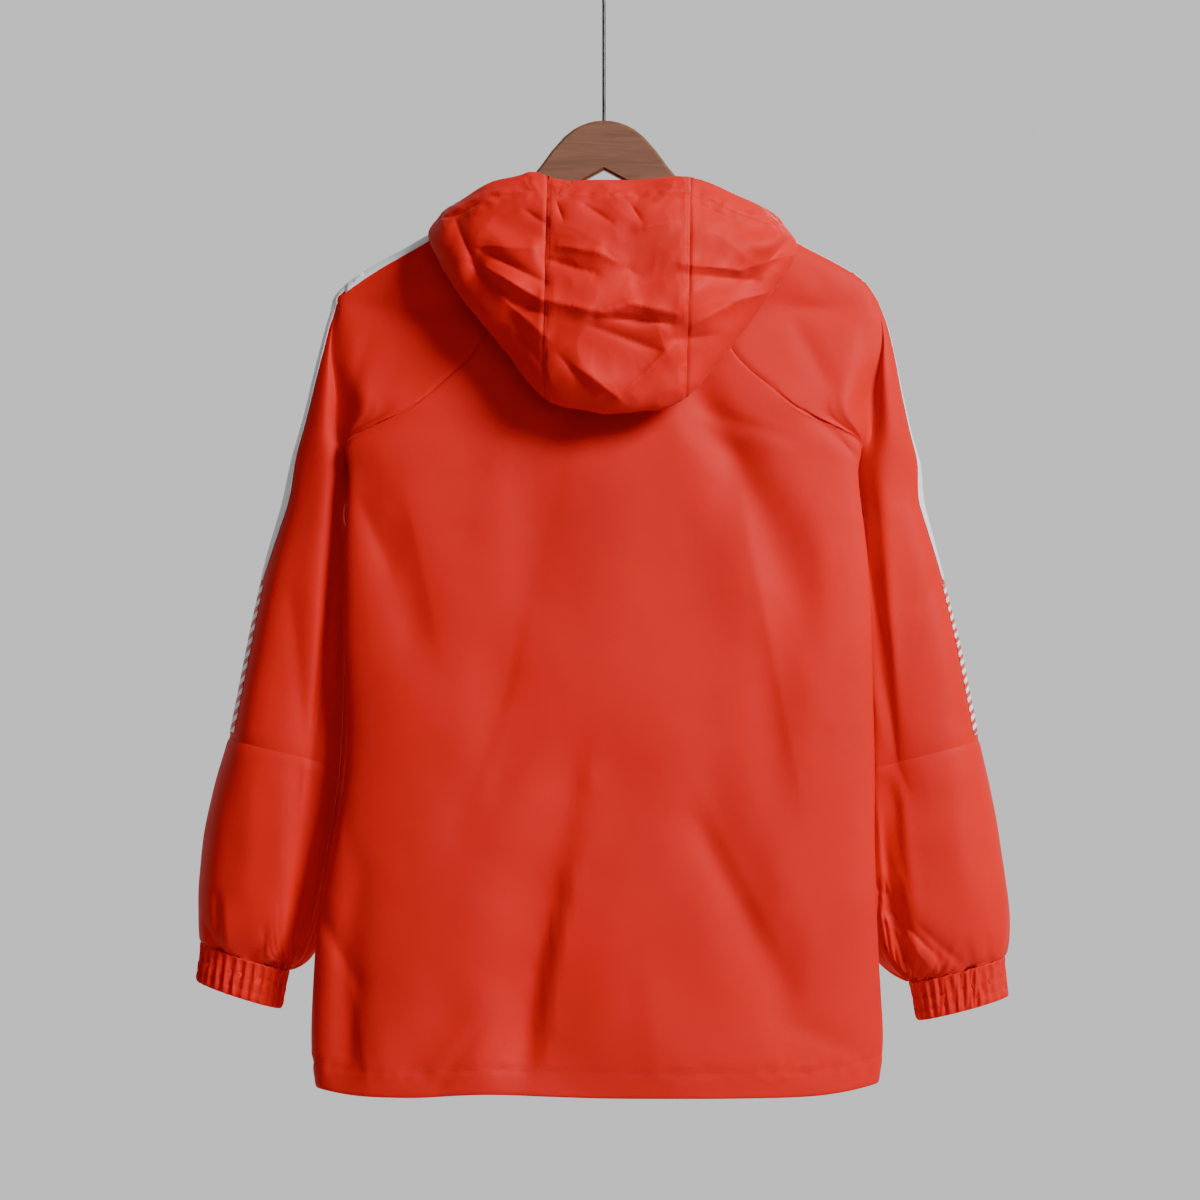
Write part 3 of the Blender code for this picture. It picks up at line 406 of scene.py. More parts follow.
def edge_stretch(made, past, start=None, end=None):
    """Vertices of the cut edge that passes a point, from start to end, or all round (places in mm)."""
    def nearest(loop, place):
        return min(range(len(loop)), key=lambda k: (loop[k].co / MM - Vector(place)).length)

    def misses(loop):
        return (loop[nearest(loop, past)].co / MM - Vector(past)).length

    made.edges.index_update()
    loop = min(edge_loops(made), key=misses)
    if start is None:
        return loop + loop[:1]
    a, b, count = nearest(loop, start), nearest(loop, end), len(loop)
    onward = [loop[(a + k) % count] for k in range((b - a) % count + 1)]
    back_way = [loop[(a - k) % count] for k in range((a - b) % count + 1)]
    return min(onward, back_way, key=misses)


def rows_beside(made, stretch, insets):
    """Rows of (place, normal) on the cloth, each inset in millimetres from a stretch of its edge."""
    inward = []
    for k, vertex in enumerate(stretch):
        ahead, behind = stretch[min(k + 1, len(stretch) - 1)].co, stretch[max(k - 1, 0)].co
        along = (ahead - behind).normalized()
        middle = sum((f.calc_center_median() for f in vertex.link_faces), Vector()) / len(vertex.link_faces)
        way = middle - vertex.co
        way -= way.dot(along) * along
        inward.append((way - way.dot(vertex.normal) * vertex.normal).normalized())
    last = len(inward) - 1
    inward = [sum((inward[min(max(k + j, 0), last)] for j in range(-3, 4)), Vector()).normalized()
              for k in range(len(inward))]
    cloth = BVHTree.FromBMesh(made)
    return [[cloth.find_nearest(v.co + way * inset * MM)[:2] for v, way in zip(stretch, inward)]
            for inset in insets]


def beside_edge(sheet, inset, past, start=None, end=None):
    """One row of (place, normal) on a sheet beside a stretch of its edge."""
    made = bmesh.new()
    made.from_mesh(sheet.data)
    made.verts.ensure_lookup_table()
    row = rows_beside(made, edge_stretch(made, past, start, end), (inset,))[0]
    made.free()
    return row


def row_distance(sheet, row):
    """Distance in millimetres from each vertex of a sheet to a row of places."""
    tree = tree_of([place for place, _ in row])
    return np.array([tree.find(v.co)[2] for v in sheet.data.vertices]) / MM


def pull_row(sheet, row, depth=0.5, width=1.3, pucker=0.35, reach=6.0, grain=5.0):
    """Sink the line that a row of stitches pulls down, with small puckers beside it."""
    places, normals = read(sheet)
    far = row_distance(sheet, row)
    height = -depth * np.exp(-(far / width) ** 2)
    close = far < 3 * reach
    waves = np.zeros(len(far))
    waves[close] = [noise.noise(Vector(p) / grain) for p in places[close]]
    height += pucker * waves * np.exp(-(far / reach) ** 2)
    write(sheet, places + normals * height[:, None])


def turn_in(sheet, past, start=None, end=None, reach=22.0):
    """Fold an allowance to the inside along a stretch of the cut edge."""
    made = bmesh.new()
    made.from_mesh(sheet.data)
    made.verts.ensure_lookup_table()
    stretch = edge_stretch(made, past, start, end)
    insets = (0.4, 0.25 * reach, 0.5 * reach, 0.75 * reach, reach)
    rows = rows_beside(made, stretch, insets)
    closed = stretch[0] is stretch[-1]
    count = len(stretch) - closed
    folded = [stretch[:count]]
    for row in rows:
        folded.append([made.verts.new(place - 0.95 * MM * normal) for place, normal in row[:count]])
    for k in range(count - (not closed)):
        a, b = stretch[k], stretch[(k + 1) % count]
        edge = made.edges.get((a, b))
        forward = edge.link_loops[0].vert == a
        for outer, inner in zip(folded, folded[1:]):
            corners = [outer[k], outer[(k + 1) % count], inner[(k + 1) % count], inner[k]]
            made.faces.new(corners[::-1] if forward else corners).smooth = True
    made.to_mesh(sheet.data)
    made.free()
    sheet.data.update()


def thicken(sheet, thickness=0.35):
    """Give a finished sheet its cloth thickness, to the inside."""
    shell = sheet.modifiers.new("cloth thickness", "SOLIDIFY")
    shell.thickness = thickness * MM
    shell.offset = -1.0
    shell.use_even_offset = False


def crumple(sheet, size, depth, crisp=0.0, keep_edge=7.0, seed=0.0):
    """Small uneven waves along the normal: size and depth in mm; crisp from 0 (soft) to 1."""
    places, normals = read(sheet)
    shift = Vector((seed, 0.37 * seed, -seed))
    soft = np.array([noise.noise(Vector(p) / size + shift) for p in places])
    ridge = 0.5 - 2 * np.abs([noise.noise(Vector(p) / (1.6 * size) - shift) for p in places])
    calm = np.clip(edge_distance(sheet) / keep_edge, 0, 1)
    height = ((1 - crisp) * soft + crisp * ridge) * depth * calm
    write(sheet, places + normals * height[:, None])


# %% [markdown]
# ## Back panel
# One wide panel hangs from the shoulders. Its own weight pulls long soft folds down from the
# hood's lower edge, and the hem stiffens the bottom. The folds are given as lines, in
# millimetres from the hook, with a half width, a depth and an edge: a simulation would put its
# own folds elsewhere.

# %% Back
# Columns: x0, z0, x1, z1, half width, depth, edge
BACK_FOLDS = (
    (-30, -405, -60, -550, 9, 1.6, 1.4),
    (-60, -550, -80, -640, 10, 1.4, 1.4),
    (-14, -716, -36, -800, 8, 2.6, 1.3),
    (-36, -800, -55, -860, 9, 3.0, 1.3),
    (-55, -860, -66, -925, 10, 2.4, 1.4),
    (-26, -760, -48, -900, 10, -2.0, 1.8),
    (76, -737, 130, -840, 11, 2.4, 1.5),
    (90, -400, 128, -480, 13, 2.2, 1.8),
    (-134, -950, -80, -868, 9, 1.8, 1.3),
    (-238, -805, -203, -868, 9, 3.2, 1.3),
    (-203, -868, -207, -930, 9, 2.4, 1.4),
    (-171, -478, -104, -448, 7, 1.1, 1.2),
    (-199, -478, -178, -524, 9, 2.0, 1.4),
    (140, -375, 176, -404, 5, 1.3, 1.2),
    (176, -404, 207, -436, 5, 2.2, 1.1),
    (176, -350, 186, -388, 9, 1.5, 1.6),
    (-54, -668, -108, -728, 6, 0.9, 1.2),
    (150, -900, 205, -925, 12, 1.6, 1.6),
)
# Columns: x0, z0, x1, z1, fall, return length, depth
BACK_STEPS = (
    (-12, -690, -33, -805, 8, 60, 6.5),
    (-33, -805, -52, -935, 8, 60, 7.0),
    (-38, -430, -72, -620, 22, 90, 5.5),
    (-72, -620, -104, -726, 12, 50, 2.2),
    (112, -470, 158, -700, 30, 90, 8.0),
    (84, -725, 150, -850, 16, 60, 4.0),
    (-160, -480, -136, -590, 16, 50, 3.0),
    (-208, -860, -196, -935, 9, 24, 3.0),
    (34, -870, 40, -935, 12, 40, 2.0),
    (-78, -868, -134, -930, 10, 40, 2.0),
)
back = outer_sheet("back", "back_cloth", (0, -1, 0))
press_folds(back, BACK_FOLDS)
press_steps(back, BACK_STEPS)
crumple(back, 70, 0.7, 0.3)
crumple(back, 20, 0.25, 0.5, seed=3.1)
back.data.materials.append(red_nylon)

# %% [markdown]
# ## Fronts
# The two fronts meet at the zip and hang like the back. The photograph doesn't show them, so they
# keep a few soft folds only.

# %% Fronts
FRONT_FOLDS = (
    (95, -430, 120, -600, 12, 1.8, 1.5),
    (-95, -420, -130, -580, 12, 1.8, 1.5),
    (120, -720, 150, -900, 11, 2.0, 1.4),
    (-110, -760, -140, -920, 11, 2.2, 1.4),
    (60, -340, 100, -400, 8, 1.2, 1.3),
    (-60, -340, -105, -395, 8, 1.2, 1.3),
)
fronts = {}
for side in SIDES:
    front = outer_sheet(f"front_{side}", f"front_{side}_cloth", (0, 1, 0))
    press_folds(front, FRONT_FOLDS, sink=(0, -1, 0))
    crumple(front, 60, 1.0, 0.25, seed=5.0)
    front.data.materials.append(red_nylon)
    fronts[side] = front

# %% [markdown]
# ## Sleeves
# Each raglan sleeve is an upper and a lower part, joined at the elbow, and its slack gathers where
# the elastic cuff draws it in. A gather is deepest at the cuff and dies out a few centimetres
# above it, so it is made from uneven waves round the sleeve that fade with height. Waves at equal
# spacing would look like pleats.

# %% Upper sleeves
SLEEVE_FOLDS_LEFT = (
    (-173, -275, -143, -288, 4, 1.0, 1.1),
    (-212, -450, -178, -486, 5, -0.9, 1.2),
    (-196, -340, -214, -400, 8, 1.6, 1.5),
    (-258, -556, -246, -684, 9, 2.0, 1.5),
    (-232, -500, -238, -640, 10, 1.6, 1.6),
)
SLEEVE_FOLDS_RIGHT = (
    (215, -330, 220, -420, 7, 1.4, 1.4),
    (160, -330, 182, -372, 9, 1.6, 1.6),
    (262, -560, 282, -530, 6, 1.0, 1.2),
    (240, -500, 250, -640, 12, 1.8, 1.7),
    (292, -645, 304, -668, 5, 1.2, 1.2),
)
uppers = {}
for (side, way), folds in zip(SIDES.items(), (SLEEVE_FOLDS_LEFT, SLEEVE_FOLDS_RIGHT)):
    upper = outer_sheet(f"sleeve_upper_{side}", f"sleeve_upper_{side}_cloth", (way, 0, 0))
    press_folds(upper, folds)
    crumple(upper, 45, 1.0, 0.3, seed=7.0 + way)
    upper.data.materials.append(red_nylon)
    uppers[side] = upper

# %% Lower sleeves
LOWER_FOLDS_LEFT = (
    (-252, -690, -256, -800, 9, 3.0, 1.5),
    (-290, -700, -296, -790, 12, -1.4, 1.8),
    (-321, -800, -319, -845, 4, 3.2, 1.0),
    (-314, -806, -313, -842, 5, -1.8, 1.1),
    (-333, -822, -321, -847, 4, 2.4, 1.0),
    (-298, -852, -284, -843, 3.5, 2.4, 1.0),
    (-281, -826, -281, -842, 4, 2.0, 1.0),
    (-276, -858, -263, -846, 3.5, 2.8, 1.0),
    (-269, -858, -262, -851, 3, 2.2, 1.0),
    (-256, -844, -238, -838, 4, 2.2, 1.0),
    (-247, -856, -222, -832, 6, -2.6, 1.1),
    (-236, -800, -246, -836, 6, 2.6, 1.1),
)
LOWER_FOLDS_RIGHT = (
    (226, -790, 246, -812, 4, 3.4, 1.0),
    (240, -784, 232, -806, 4, -2.2, 1.0),
    (232, -806, 276, -850, 5, 3.6, 1.0),
    (226, -812, 262, -850, 5, -2.4, 1.0),
    (262, -826, 300, -860, 5, 3.2, 1.0),
    (238, -824, 256, -860, 4, 2.6, 1.0),
    (300, -838, 306, -866, 4, 2.4, 1.0),
    (318, -836, 322, -866, 4, 2.6, 1.0),
    (276, -846, 280, -866, 4, 2.4, 1.0),
    (330, -800, 326, -840, 5, 2.0, 1.0),
    (250, -700, 262, -790, 13, 1.8, 1.8),
    (290, -720, 300, -800, 14, -1.6, 1.8),
)


def gather(sheet, top, reach, depth, count, seed):
    """Uneven gathers that rise from a sleeve's lower edge."""
    places, normals = read(sheet)
    low = places[places[:, 2] < np.quantile(places[:, 2], 0.12)]
    middle = low.mean(0)
    angle = np.arctan2(places[:, 1] - middle[1], places[:, 0] - middle[0])
    up = edge_distance(sheet) + np.where(places[:, 2] > top, 200, 0)
    uneven = angle + 0.22 * np.sin(3 * angle + seed) + 0.12 * np.sin(7 * angle - seed)
    wave = 0.5 + 0.5 * np.sin(count * uneven)
    long = reach * (0.55 + 0.45 * np.sin(5 * angle + 2 * seed) ** 2)
    height = -depth * wave ** 1.5 * np.exp(-(up / long) ** 1.4)
    write(sheet, places + normals * height[:, None])


lowers = {}
for (side, way), folds in zip(SIDES.items(), (LOWER_FOLDS_LEFT, LOWER_FOLDS_RIGHT)):
    lower = outer_sheet(f"sleeve_lower_{side}", f"sleeve_lower_{side}_cloth", (way, 0, 0))
    press_folds(lower, folds)
    gather(lower, -790, 20, 2.2, 19, way)
    crumple(lower, 34, 1.2, 0.35, seed=11.0 + way)
    lower.data.materials.append(red_nylon)
    lowers[side] = lower

# %% [markdown]
# ## Cuffs
# The cuffs are short tubes with elastic inside, stitched round in two rows. Relaxed elastic
# shirrs the nylon into fine upright ridges, which are pinched flat along each stitch row.

# %% Cuffs
CUFF_SHIRR = {"left": 0.25, "right": 0.7}      # depth in mm; the right cuff is drawn in more
CUFF_WALL = (0.5 * WALL, 1.3 * WALL)           # the cuffs' rims aren't square to their walls
cuffs = {}
for side, way in SIDES.items():
    cuff = outer_sheet(f"cuff_{side}", f"cuff_{side}_cloth", (way, 0, 0), wall=CUFF_WALL)
    places, normals = read(cuff)
    middle = places.mean(0)
    angle = np.arctan2(places[:, 1] - middle[1], places[:, 0] - middle[0])
    far = edge_distance(cuff)
    ridges = np.sin(34 * angle + 2.6 * np.sin(5 * angle + way) + 1.4 * np.sin(11 * angle))
    patchy = 0.45 + 0.55 * np.sin(3 * angle + 2 * way) ** 2
    height = CUFF_SHIRR[side] * ridges * patchy * np.clip(far / 4, 0.35, 1)
    write(cuff, places + normals * height[:, None])
    crumple(cuff, 7, 0.5, 0.4, keep_edge=3, seed=way)
    cuff.data.materials.append(red_nylon)
    cuffs[side] = cuff

# %% [markdown]
# ## Hood
# The hood hangs inside out of its own weight: a pouch with its rim on top. Nylon that has been
# folded keeps crisp creases there, so its folds get sharp edges and large facets, unlike the body.

# %% Hood
# Columns: x0, z0, x1, z1, half width, depth
HOOD_FOLDS = (
    (-119, -250, -104, -284, 7, 2.6),
    (-104, -284, -74, -314, 7, 3.0),
    (-74, -314, -50, -323, 6, 2.4),
    (-97, -272, -51, -297, 8, 4.2),
    (-100, -268, -60, -270, 5, -1.8),
    (-95, -286, -54, -311, 5, -3.2),
    (-81, -311, -49, -341, 6, -2.4),
    (-73, -330, -52, -362, 7, 2.0),
    (-35, -269, -5, -274, 5, -2.4),
    (-5, -274, 14, -284, 5, -2.2),
    (-43, -280, -9, -291, 6, 2.6),
    (-47, -313, -1, -324, 6, -3.4),
    (-1, -324, 22, -316, 6, -2.8),
    (22, -316, 56, -324, 5, -2.6),
    (-5, -326, 52, -331, 6, 3.6),
    (-9, -334, 41, -352, 7, 2.4),
    (-20, -368, 10, -390, 6, -2.6),
    (14, -390, 37, -368, 6, -2.2),
    (37, -368, 56, -349, 5, -2.0),
    (-34, -360, -12, -384, 6, 1.8),
    (30, -300, 58, -292, 8, 1.6),
    (30, -254, 56, -249, 6, -1.6),
    (2, -276, 26, -292, 6, 1.4),
    (64, -284, 110, -288, 5, -2.4),
    (110, -288, 151, -272, 5, -2.2),
    (70, -293, 120, -294, 7, 3.0),
    (73, -332, 110, -311, 6, -2.2),
    (110, -311, 140, -303, 6, -1.8),
    (60, -344, 84, -340, 8, 2.2),
    (75, -232, 105, -247, 5, 1.8),
    (-38, -234, -34, -245, 3, 1.6),
    (-14, -236, 4, -248, 4, 1.6),
    (-62, -240, -48, -250, 4, 1.4),
    (22, -236, 30, -248, 4, 1.4),
)
RIM_PEAK = (-54, 17, 8.0)      # x, half width and height of the peak in the rim, in mm


def lift_rim(hood):
    """Raise the rim where it stands up beside the hanger."""
    places, normals = read(hood)
    x, half, rise = RIM_PEAK
    near_rim = np.exp(-np.clip(-212 - places[:, 2], 0, None) / 14)
    behind = 1 / (1 + np.exp((places[:, 1] + 30) / 6))
    places[:, 2] += rise * np.exp(-((places[:, 0] - x) / half) ** 2) * near_rim * behind
    write(hood, places)


HOOD_DEPTH = 1.9       # how much deeper the creases are than the table, to match their shadows
CREASE_EDGE = 1.0      # every crease of the hood is crisp
hoods = {}
for part in ("side_left", "centre", "side_right"):
    hood = outer_sheet(f"hood_{part}", f"hood_{part}_cloth", (0, -1, 0), levels=4)
    lift_rim(hood)
    press_folds(hood, [fold[:5] + (HOOD_DEPTH * fold[5], CREASE_EDGE) for fold in HOOD_FOLDS])
    crumple(hood, 34, 2.4, 0.85, keep_edge=8, seed=2.0)
    crumple(hood, 12, 0.6, 0.8, keep_edge=6, seed=4.5)
    hood.data.materials.append(red_nylon)
    hoods[part] = hood

# %% [markdown]
# ## Tapes and trims
# A plain white tape runs along each shoulder and down the sleeve's outer line to above the elbow,
# and a narrow trim with a slanted rib goes on from there. They are flat strips sewn on the panel,
# so each is laid on the finished cloth: a tape that kept its own flat form would cut through the
# sleeve's folds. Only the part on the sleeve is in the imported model. The part along the shoulder is
# built here, row by row, on a fitted ridge line, as tape that followed every bump would look torn.

# %% Tapes and trims
STRIP_WALL = (0.8 * MM, 1.2 * MM)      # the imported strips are 1 mm thick
tapes, zips = {}, {}
for side, way in SIDES.items():
    for kind, finish in (("tape", white_tape), ("trim", hatch_tape)):
        name = f"sleeve_{kind}_{side}"
        strip = outer_sheet(name, f"{name}_cloth", (way, 0, 0), wall=STRIP_WALL)
        strip.data.materials.append(finish)
        tapes[f"{kind}_{side}"] = strip
for side in SIDES:
    strip = outer_sheet(f"zip_tape_{side}", f"zip_tape_{side}_cloth", (0, 1, 0), 2, STRIP_WALL)
    strip.data.materials.append(zip_cloth)
    zips[side] = strip

# %% Lay the tapes on the sleeves
TAPE_WIDTH, TAPE_ABOVE = 24.0, 0.5      # mm
# Forward shift of the tape's back edge at its low and its high end, in mm
BACK_EDGE_SHIFT = {"left": (14.0, -12.5), "right": (14.0, -1.5)}


def lay_on(tape, sleeve, width, shifts):
    """Give a tape an even width and a smooth back edge, and lay it on the sleeve's cloth."""
    made = bmesh.new()
    made.from_mesh(tape.data)
    rim = np.array([v.co for v in made.verts if v.is_boundary]) / MM
    made.free()
    middle = np.polyval(np.polyfit(rim[:, 2], rim[:, 1], 3), rim[:, 2])
    back_edge, front_edge = (np.polyfit(rim[side, 2], rim[side, 1], 2)
                             for side in (rim[:, 1] < middle, rim[:, 1] >= middle))
    low, high = rim[:, 2].min(), rim[:, 2].max()
    cloth = BVHTree.FromObject(sleeve, bpy.context.evaluated_depsgraph_get())
    for vertex in tape.data.vertices:
        x, y, z = vertex.co / MM
        up = (z - low) / (high - low)
        behind, before = np.polyval(back_edge, z), np.polyval(front_edge, z)
        share = min(max((y - behind) / (before - behind), 0), 1)
        aim = behind + shifts[0] + (shifts[1] - shifts[0]) * up + share * (width or before - behind)
        place, normal = cloth.find_nearest(Vector((x, aim, z)) * MM)[:2]
        vertex.co = place + TAPE_ABOVE * MM * normal
    tape.data.update()


for side in SIDES:
    lay_on(tapes[f"tape_{side}"], uppers[side], TAPE_WIDTH, BACK_EDGE_SHIFT[side])
    lay_on(tapes[f"trim_{side}"], uppers[side], None, (0.0, 0.0))

# %% Tape over the shoulders
SHOULDER_FROM, SHOULDER_TO = 66, 214     # mm from the middle of the neck
SHOULDER_ROUND = 14.0                    # the shoulder's top curves round a line this far below it
SHOULDER_START = {"left": -13.0, "right": 2.0}      # from the ridge; the left tape peeps over it
SHOULDER_SEARCH = range(-30, 52, 2)      # y in mm between which the shoulder's top lies
ALONG, ACROSS = 47, 9                    # points of the tape's mesh each way


def shoulder_tape(sleeve, side, way):
    """Strip of the same tape along the top of the shoulder, on the sleeve's cloth."""
    cloth = BVHTree.FromObject(sleeve, bpy.context.evaluated_depsgraph_get())
    xs = way * np.linspace(SHOULDER_FROM, SHOULDER_TO, ALONG)
    down = Vector((0, 0, -1))
    tops = []
    for x in xs:
        hits = [cloth.ray_cast(Vector((x * MM, y * MM, 0.05)), down)[0] for y in SHOULDER_SEARCH]
        top = max((place for place in hits if place), key=lambda place: place.z)
        tops.append((top.y / MM, top.z / MM))
    ridge_y = np.polyval(np.polyfit(xs, [t[0] for t in tops], 2), xs)
    ridge_z = np.polyval(np.polyfit(xs, [t[1] for t in tops], 4), xs)
    rows = []
    for x, y, z in zip(xs, ridge_y, ridge_z):
        middle = Vector((x, y, z - SHOULDER_ROUND)) * MM
        turns = (SHOULDER_START[side] + np.linspace(0, TAPE_WIDTH, ACROSS)) / SHOULDER_ROUND
        hits = [cloth.ray_cast(middle, Vector((0, math.sin(t), math.cos(t))), 0.04) for t in turns]
        if all(place for place, *_ in hits):
            rows.append([place + TAPE_ABOVE * MM * (normal if normal.dot(place - middle) > 0 else -normal)
                         for place, normal, *_ in hits])
    square = (0, 1, ACROSS + 1, ACROSS)[::way]      # mirrored on the left, to face outwards
    corners = [tuple(r * ACROSS + c + k for k in square)
               for r in range(len(rows) - 1) for c in range(ACROSS - 1)]
    mesh = bpy.data.meshes.new(f"shoulder_tape_{side}")
    mesh.from_pydata([tuple(place) for row in rows for place in row], [], corners)
    strip = bpy.data.objects.new(mesh.name, mesh)
    bpy.context.scene.collection.objects.link(strip)
    select_only(strip)
    bpy.ops.object.shade_smooth()
    mesh.materials.append(white_tape)
    print(strip.name, len(rows), "rows, area", round(sum(p.area for p in mesh.polygons), 4))
    return strip


for side, way in SIDES.items():
    tapes[f"shoulder_{side}"] = shoulder_tape(uppers[side], side, way)

# %% [markdown]
# ## Closing the seams
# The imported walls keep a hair's gap from each other, because solids may not touch. Real panels
# are sewn edge to edge, so each cut edge is drawn half way to its neighbour's. Below the armhole
# the sleeves hang against the sides, so their inner side leans in to close the gap there.


# %% Draw neighbouring edges together
def edge_points(sheet, steps=8):
    """Places along a sheet's cut edges, closely spaced."""
    made = bmesh.new()
    made.from_mesh(sheet.data)
    points = [e.verts[0].co.lerp(e.verts[1].co, k / steps)
              for e in made.edges if e.is_boundary for k in range(steps)]
    made.free()
    return points


def close_seams(sheets, widest=3.5):
    """Move each edge vertex half way to the nearest neighbouring edge, if it is near."""
    points = [edge_points(sheet) for sheet in sheets]
    moves = []
    for own, sheet in enumerate(sheets):
        tree = tree_of([p for other, group in enumerate(points) if other != own for p in group])
        made = bmesh.new()
        made.from_mesh(sheet.data)
        for vertex in made.verts:
            if vertex.is_boundary:
                near, _, far = tree.find(vertex.co)
                if far < widest * MM:
                    moves.append((sheet, vertex.index, (vertex.co + near) / 2 - 0.25 * MM * vertex.normal))
        made.free()
    for sheet, index, place in moves:
        sheet.data.vertices[index].co = place
    for sheet in sheets:
        sheet.data.update()
    print("edge vertices drawn together:", len(moves))


def seam_valley(sheet, depth=0.7, width=1.5):
    """Sink the cloth a little along its cut edges, where the seam allowance pulls it down."""
    places, normals = read(sheet)
    height = -depth * np.exp(-(edge_distance(sheet) / width) ** 2)
    write(sheet, places + normals * height[:, None])


def lean_in(sleeve, way, amount=3.5, side_x=214.0, high=-480.0, spread=60.0, reach=16.0):
    """Let the sleeve's inner side rest against the body below the armhole."""
    places, _ = read(sleeve)
    past = np.maximum(way * places[:, 0] - side_x, 0)
    near = np.exp(-(past / reach) ** 2 - ((places[:, 2] - high) / spread) ** 2)
    places[:, 0] -= way * amount * near
    write(sleeve, places)


panels = [back, *fronts.values(), *uppers.values(), *lowers.values(), *cuffs.values(), *hoods.values()]
close_seams(panels)
for panel in panels:
    seam_valley(panel)
for side, way in SIDES.items():
    lean_in(uppers[side], way)

# %% [markdown]
# ## Sewing
# A seam is only believable with its thread. Every row is laid along a real edge of the pattern:
# the hem 22 mm up, the hood's casing 20 mm under its rim, two rows round each cuff and one on
# each side of the zip. The cloth is first pulled down under the row, then one stitch is modelled
# and copied along it, so that each stitch is a small separate loop of thread.

# %% Rows
# Distance in mm of each row from its edge, and corners of the panels that rows start and end at
HEM_ROW, CASING_ROW, CUFF_ROWS, ZIP_ROW, HOOD_SEAM_ROW = 22.0, 20.0, (9.0, 19.0), 5.0, 2.2
HEM_CORNERS = {"left": (-219, 11, -958), "right": (209, 11, -955)}
HOOD_RIM_CORNERS = {"left": (-46, -58, -214), "right": (70, -58, -209)}
HOOD_LOW_CORNERS = {"left": (-48, -20, -227), "right": (48, -20, -227)}
THROAT = {"left": (-8, 36, -252), "right": (8, 36, -252)}


def edge_named(piece):
    """Keyword places of a named edge: what it passes, and where it starts and ends."""
    if piece == "hem back":
        return dict(past=(0, -40, -958), start=HEM_CORNERS["left"], end=HEM_CORNERS["right"])
    if piece == "rim centre":
        return dict(past=(10, -58, -211), start=HOOD_RIM_CORNERS["left"], end=HOOD_RIM_CORNERS["right"])
    kind, side = piece.split()
    way = SIDES[side]
    if kind == "hem":
        return dict(past=(way * 110, 45, -960), start=HEM_CORNERS[side], end=(way * 7, 54, -961))
    if kind == "zip":
        return dict(past=(way * 7, 45, -600), start=(way * 7, 28, -284), end=(way * 7, 54, -961))
    if kind == "rim":
        return dict(past=(way * 110, -40, -235), start=HOOD_RIM_CORNERS[side], end=THROAT[side])
    if kind == "seam":
        return dict(past=(way * 60, -90, -320), start=HOOD_RIM_CORNERS[side], end=HOOD_LOW_CORNERS[side])
    return dict(past=(way * 300, 20, -900))


seams = {}


def add_row(name, sheet, inset, edge):
    """Note the row of a seam beside a named edge of its sheet."""
    seams[name] = (sheet, beside_edge(sheet, inset, **edge_named(edge)))


add_row("hem_back", back, HEM_ROW, "hem back")
add_row("casing_centre", hoods["centre"], CASING_ROW, "rim centre")
for side in SIDES:
    add_row(f"hem_{side}", fronts[side], HEM_ROW, f"hem {side}")
    add_row(f"zip_{side}", fronts[side], ZIP_ROW, f"zip {side}")
    add_row(f"casing_{side}", hoods[f"side_{side}"], CASING_ROW, f"rim {side}")
    add_row(f"hood_seam_{side}", hoods["centre"], HOOD_SEAM_ROW, f"seam {side}")
    for k, inset in enumerate(CUFF_ROWS):
        add_row(f"cuff_{side}_{k}", cuffs[side], inset, f"cuff {side}")
for name, (sheet, row) in seams.items():
    if name.startswith("hem"):
        pull_row(sheet, row, depth=0.8, width=1.6, pucker=0.9, reach=9.0, grain=9.0)
    elif name.startswith("casing"):
        pull_row(sheet, row, depth=0.9, width=1.8, pucker=1.3, reach=9.0, grain=8.0)
    else:
        pull_row(sheet, row)
close_seams(list(hoods.values()), widest=9.0)      # the puckers had parted the hood's seams
print({name: len(row) for name, (sheet, row) in seams.items()})

# %% One stitch, copied along each row
STITCH_PITCH, STITCH_LENGTH, THREAD = 2.9, 2.2, 0.42
bpy.ops.object.select_all(action="DESELECT")
bpy.ops.mesh.primitive_uv_sphere_add(segments=6, ring_count=4, radius=0.5 * MM)
stitch = bpy.context.object
bpy.ops.object.mode_set(mode="EDIT")
bpy.ops.mesh.select_all(action="SELECT")
bpy.ops.transform.rotate(value=math.pi / 2, orient_axis="Y", center_override=(0, 0, 0))
bpy.ops.transform.resize(value=(STITCH_LENGTH, THREAD, THREAD))
bpy.ops.object.mode_set(mode="OBJECT")


def copies_of(template, name, frames):
    """One mesh that holds a copy of the template in each (place, along, up) frame."""
    shape = np.array([v.co for v in template.data.vertices])
    faces = [tuple(p.vertices) for p in template.data.polygons]
    points, corners = [], []
    for place, along, up in frames:
        across = up.cross(along).normalized()
        turned = shape @ np.array((along, across, across.cross(along) * -1))
        corners += [tuple(len(points) * len(shape) + i for i in f) for f in faces]
        points.append(turned + np.array(place))
    mesh = bpy.data.meshes.new(name)
    mesh.from_pydata(np.concatenate(points).tolist(), [], corners)
    made = bpy.data.objects.new(name, mesh)
    bpy.context.scene.collection.objects.link(made)
    select_only(made)
    bpy.ops.object.shade_smooth()
    return made


def paces(row, pitch):
    """Frames at even paces along a row of (place, normal)."""
    places = np.array([place for place, _ in row])
    run = np.concatenate(([0], np.cumsum(np.linalg.norm(np.diff(places, axis=0), axis=1)))) / MM
    frames = []
    for at in np.arange(0.5 * pitch, run[-1] - 0.3 * pitch, pitch):
        k = min(max(int(np.searchsorted(run, at)) - 1, 0), len(row) - 2)
        share = (at - run[k]) / max(run[k + 1] - run[k], 1e-6)
        place = row[k][0].lerp(row[k + 1][0], share)
        along = (row[k + 1][0] - row[k][0]).normalized()
        frames.append((place, along, row[k][1].lerp(row[k + 1][1], share).normalized()))
    return frames


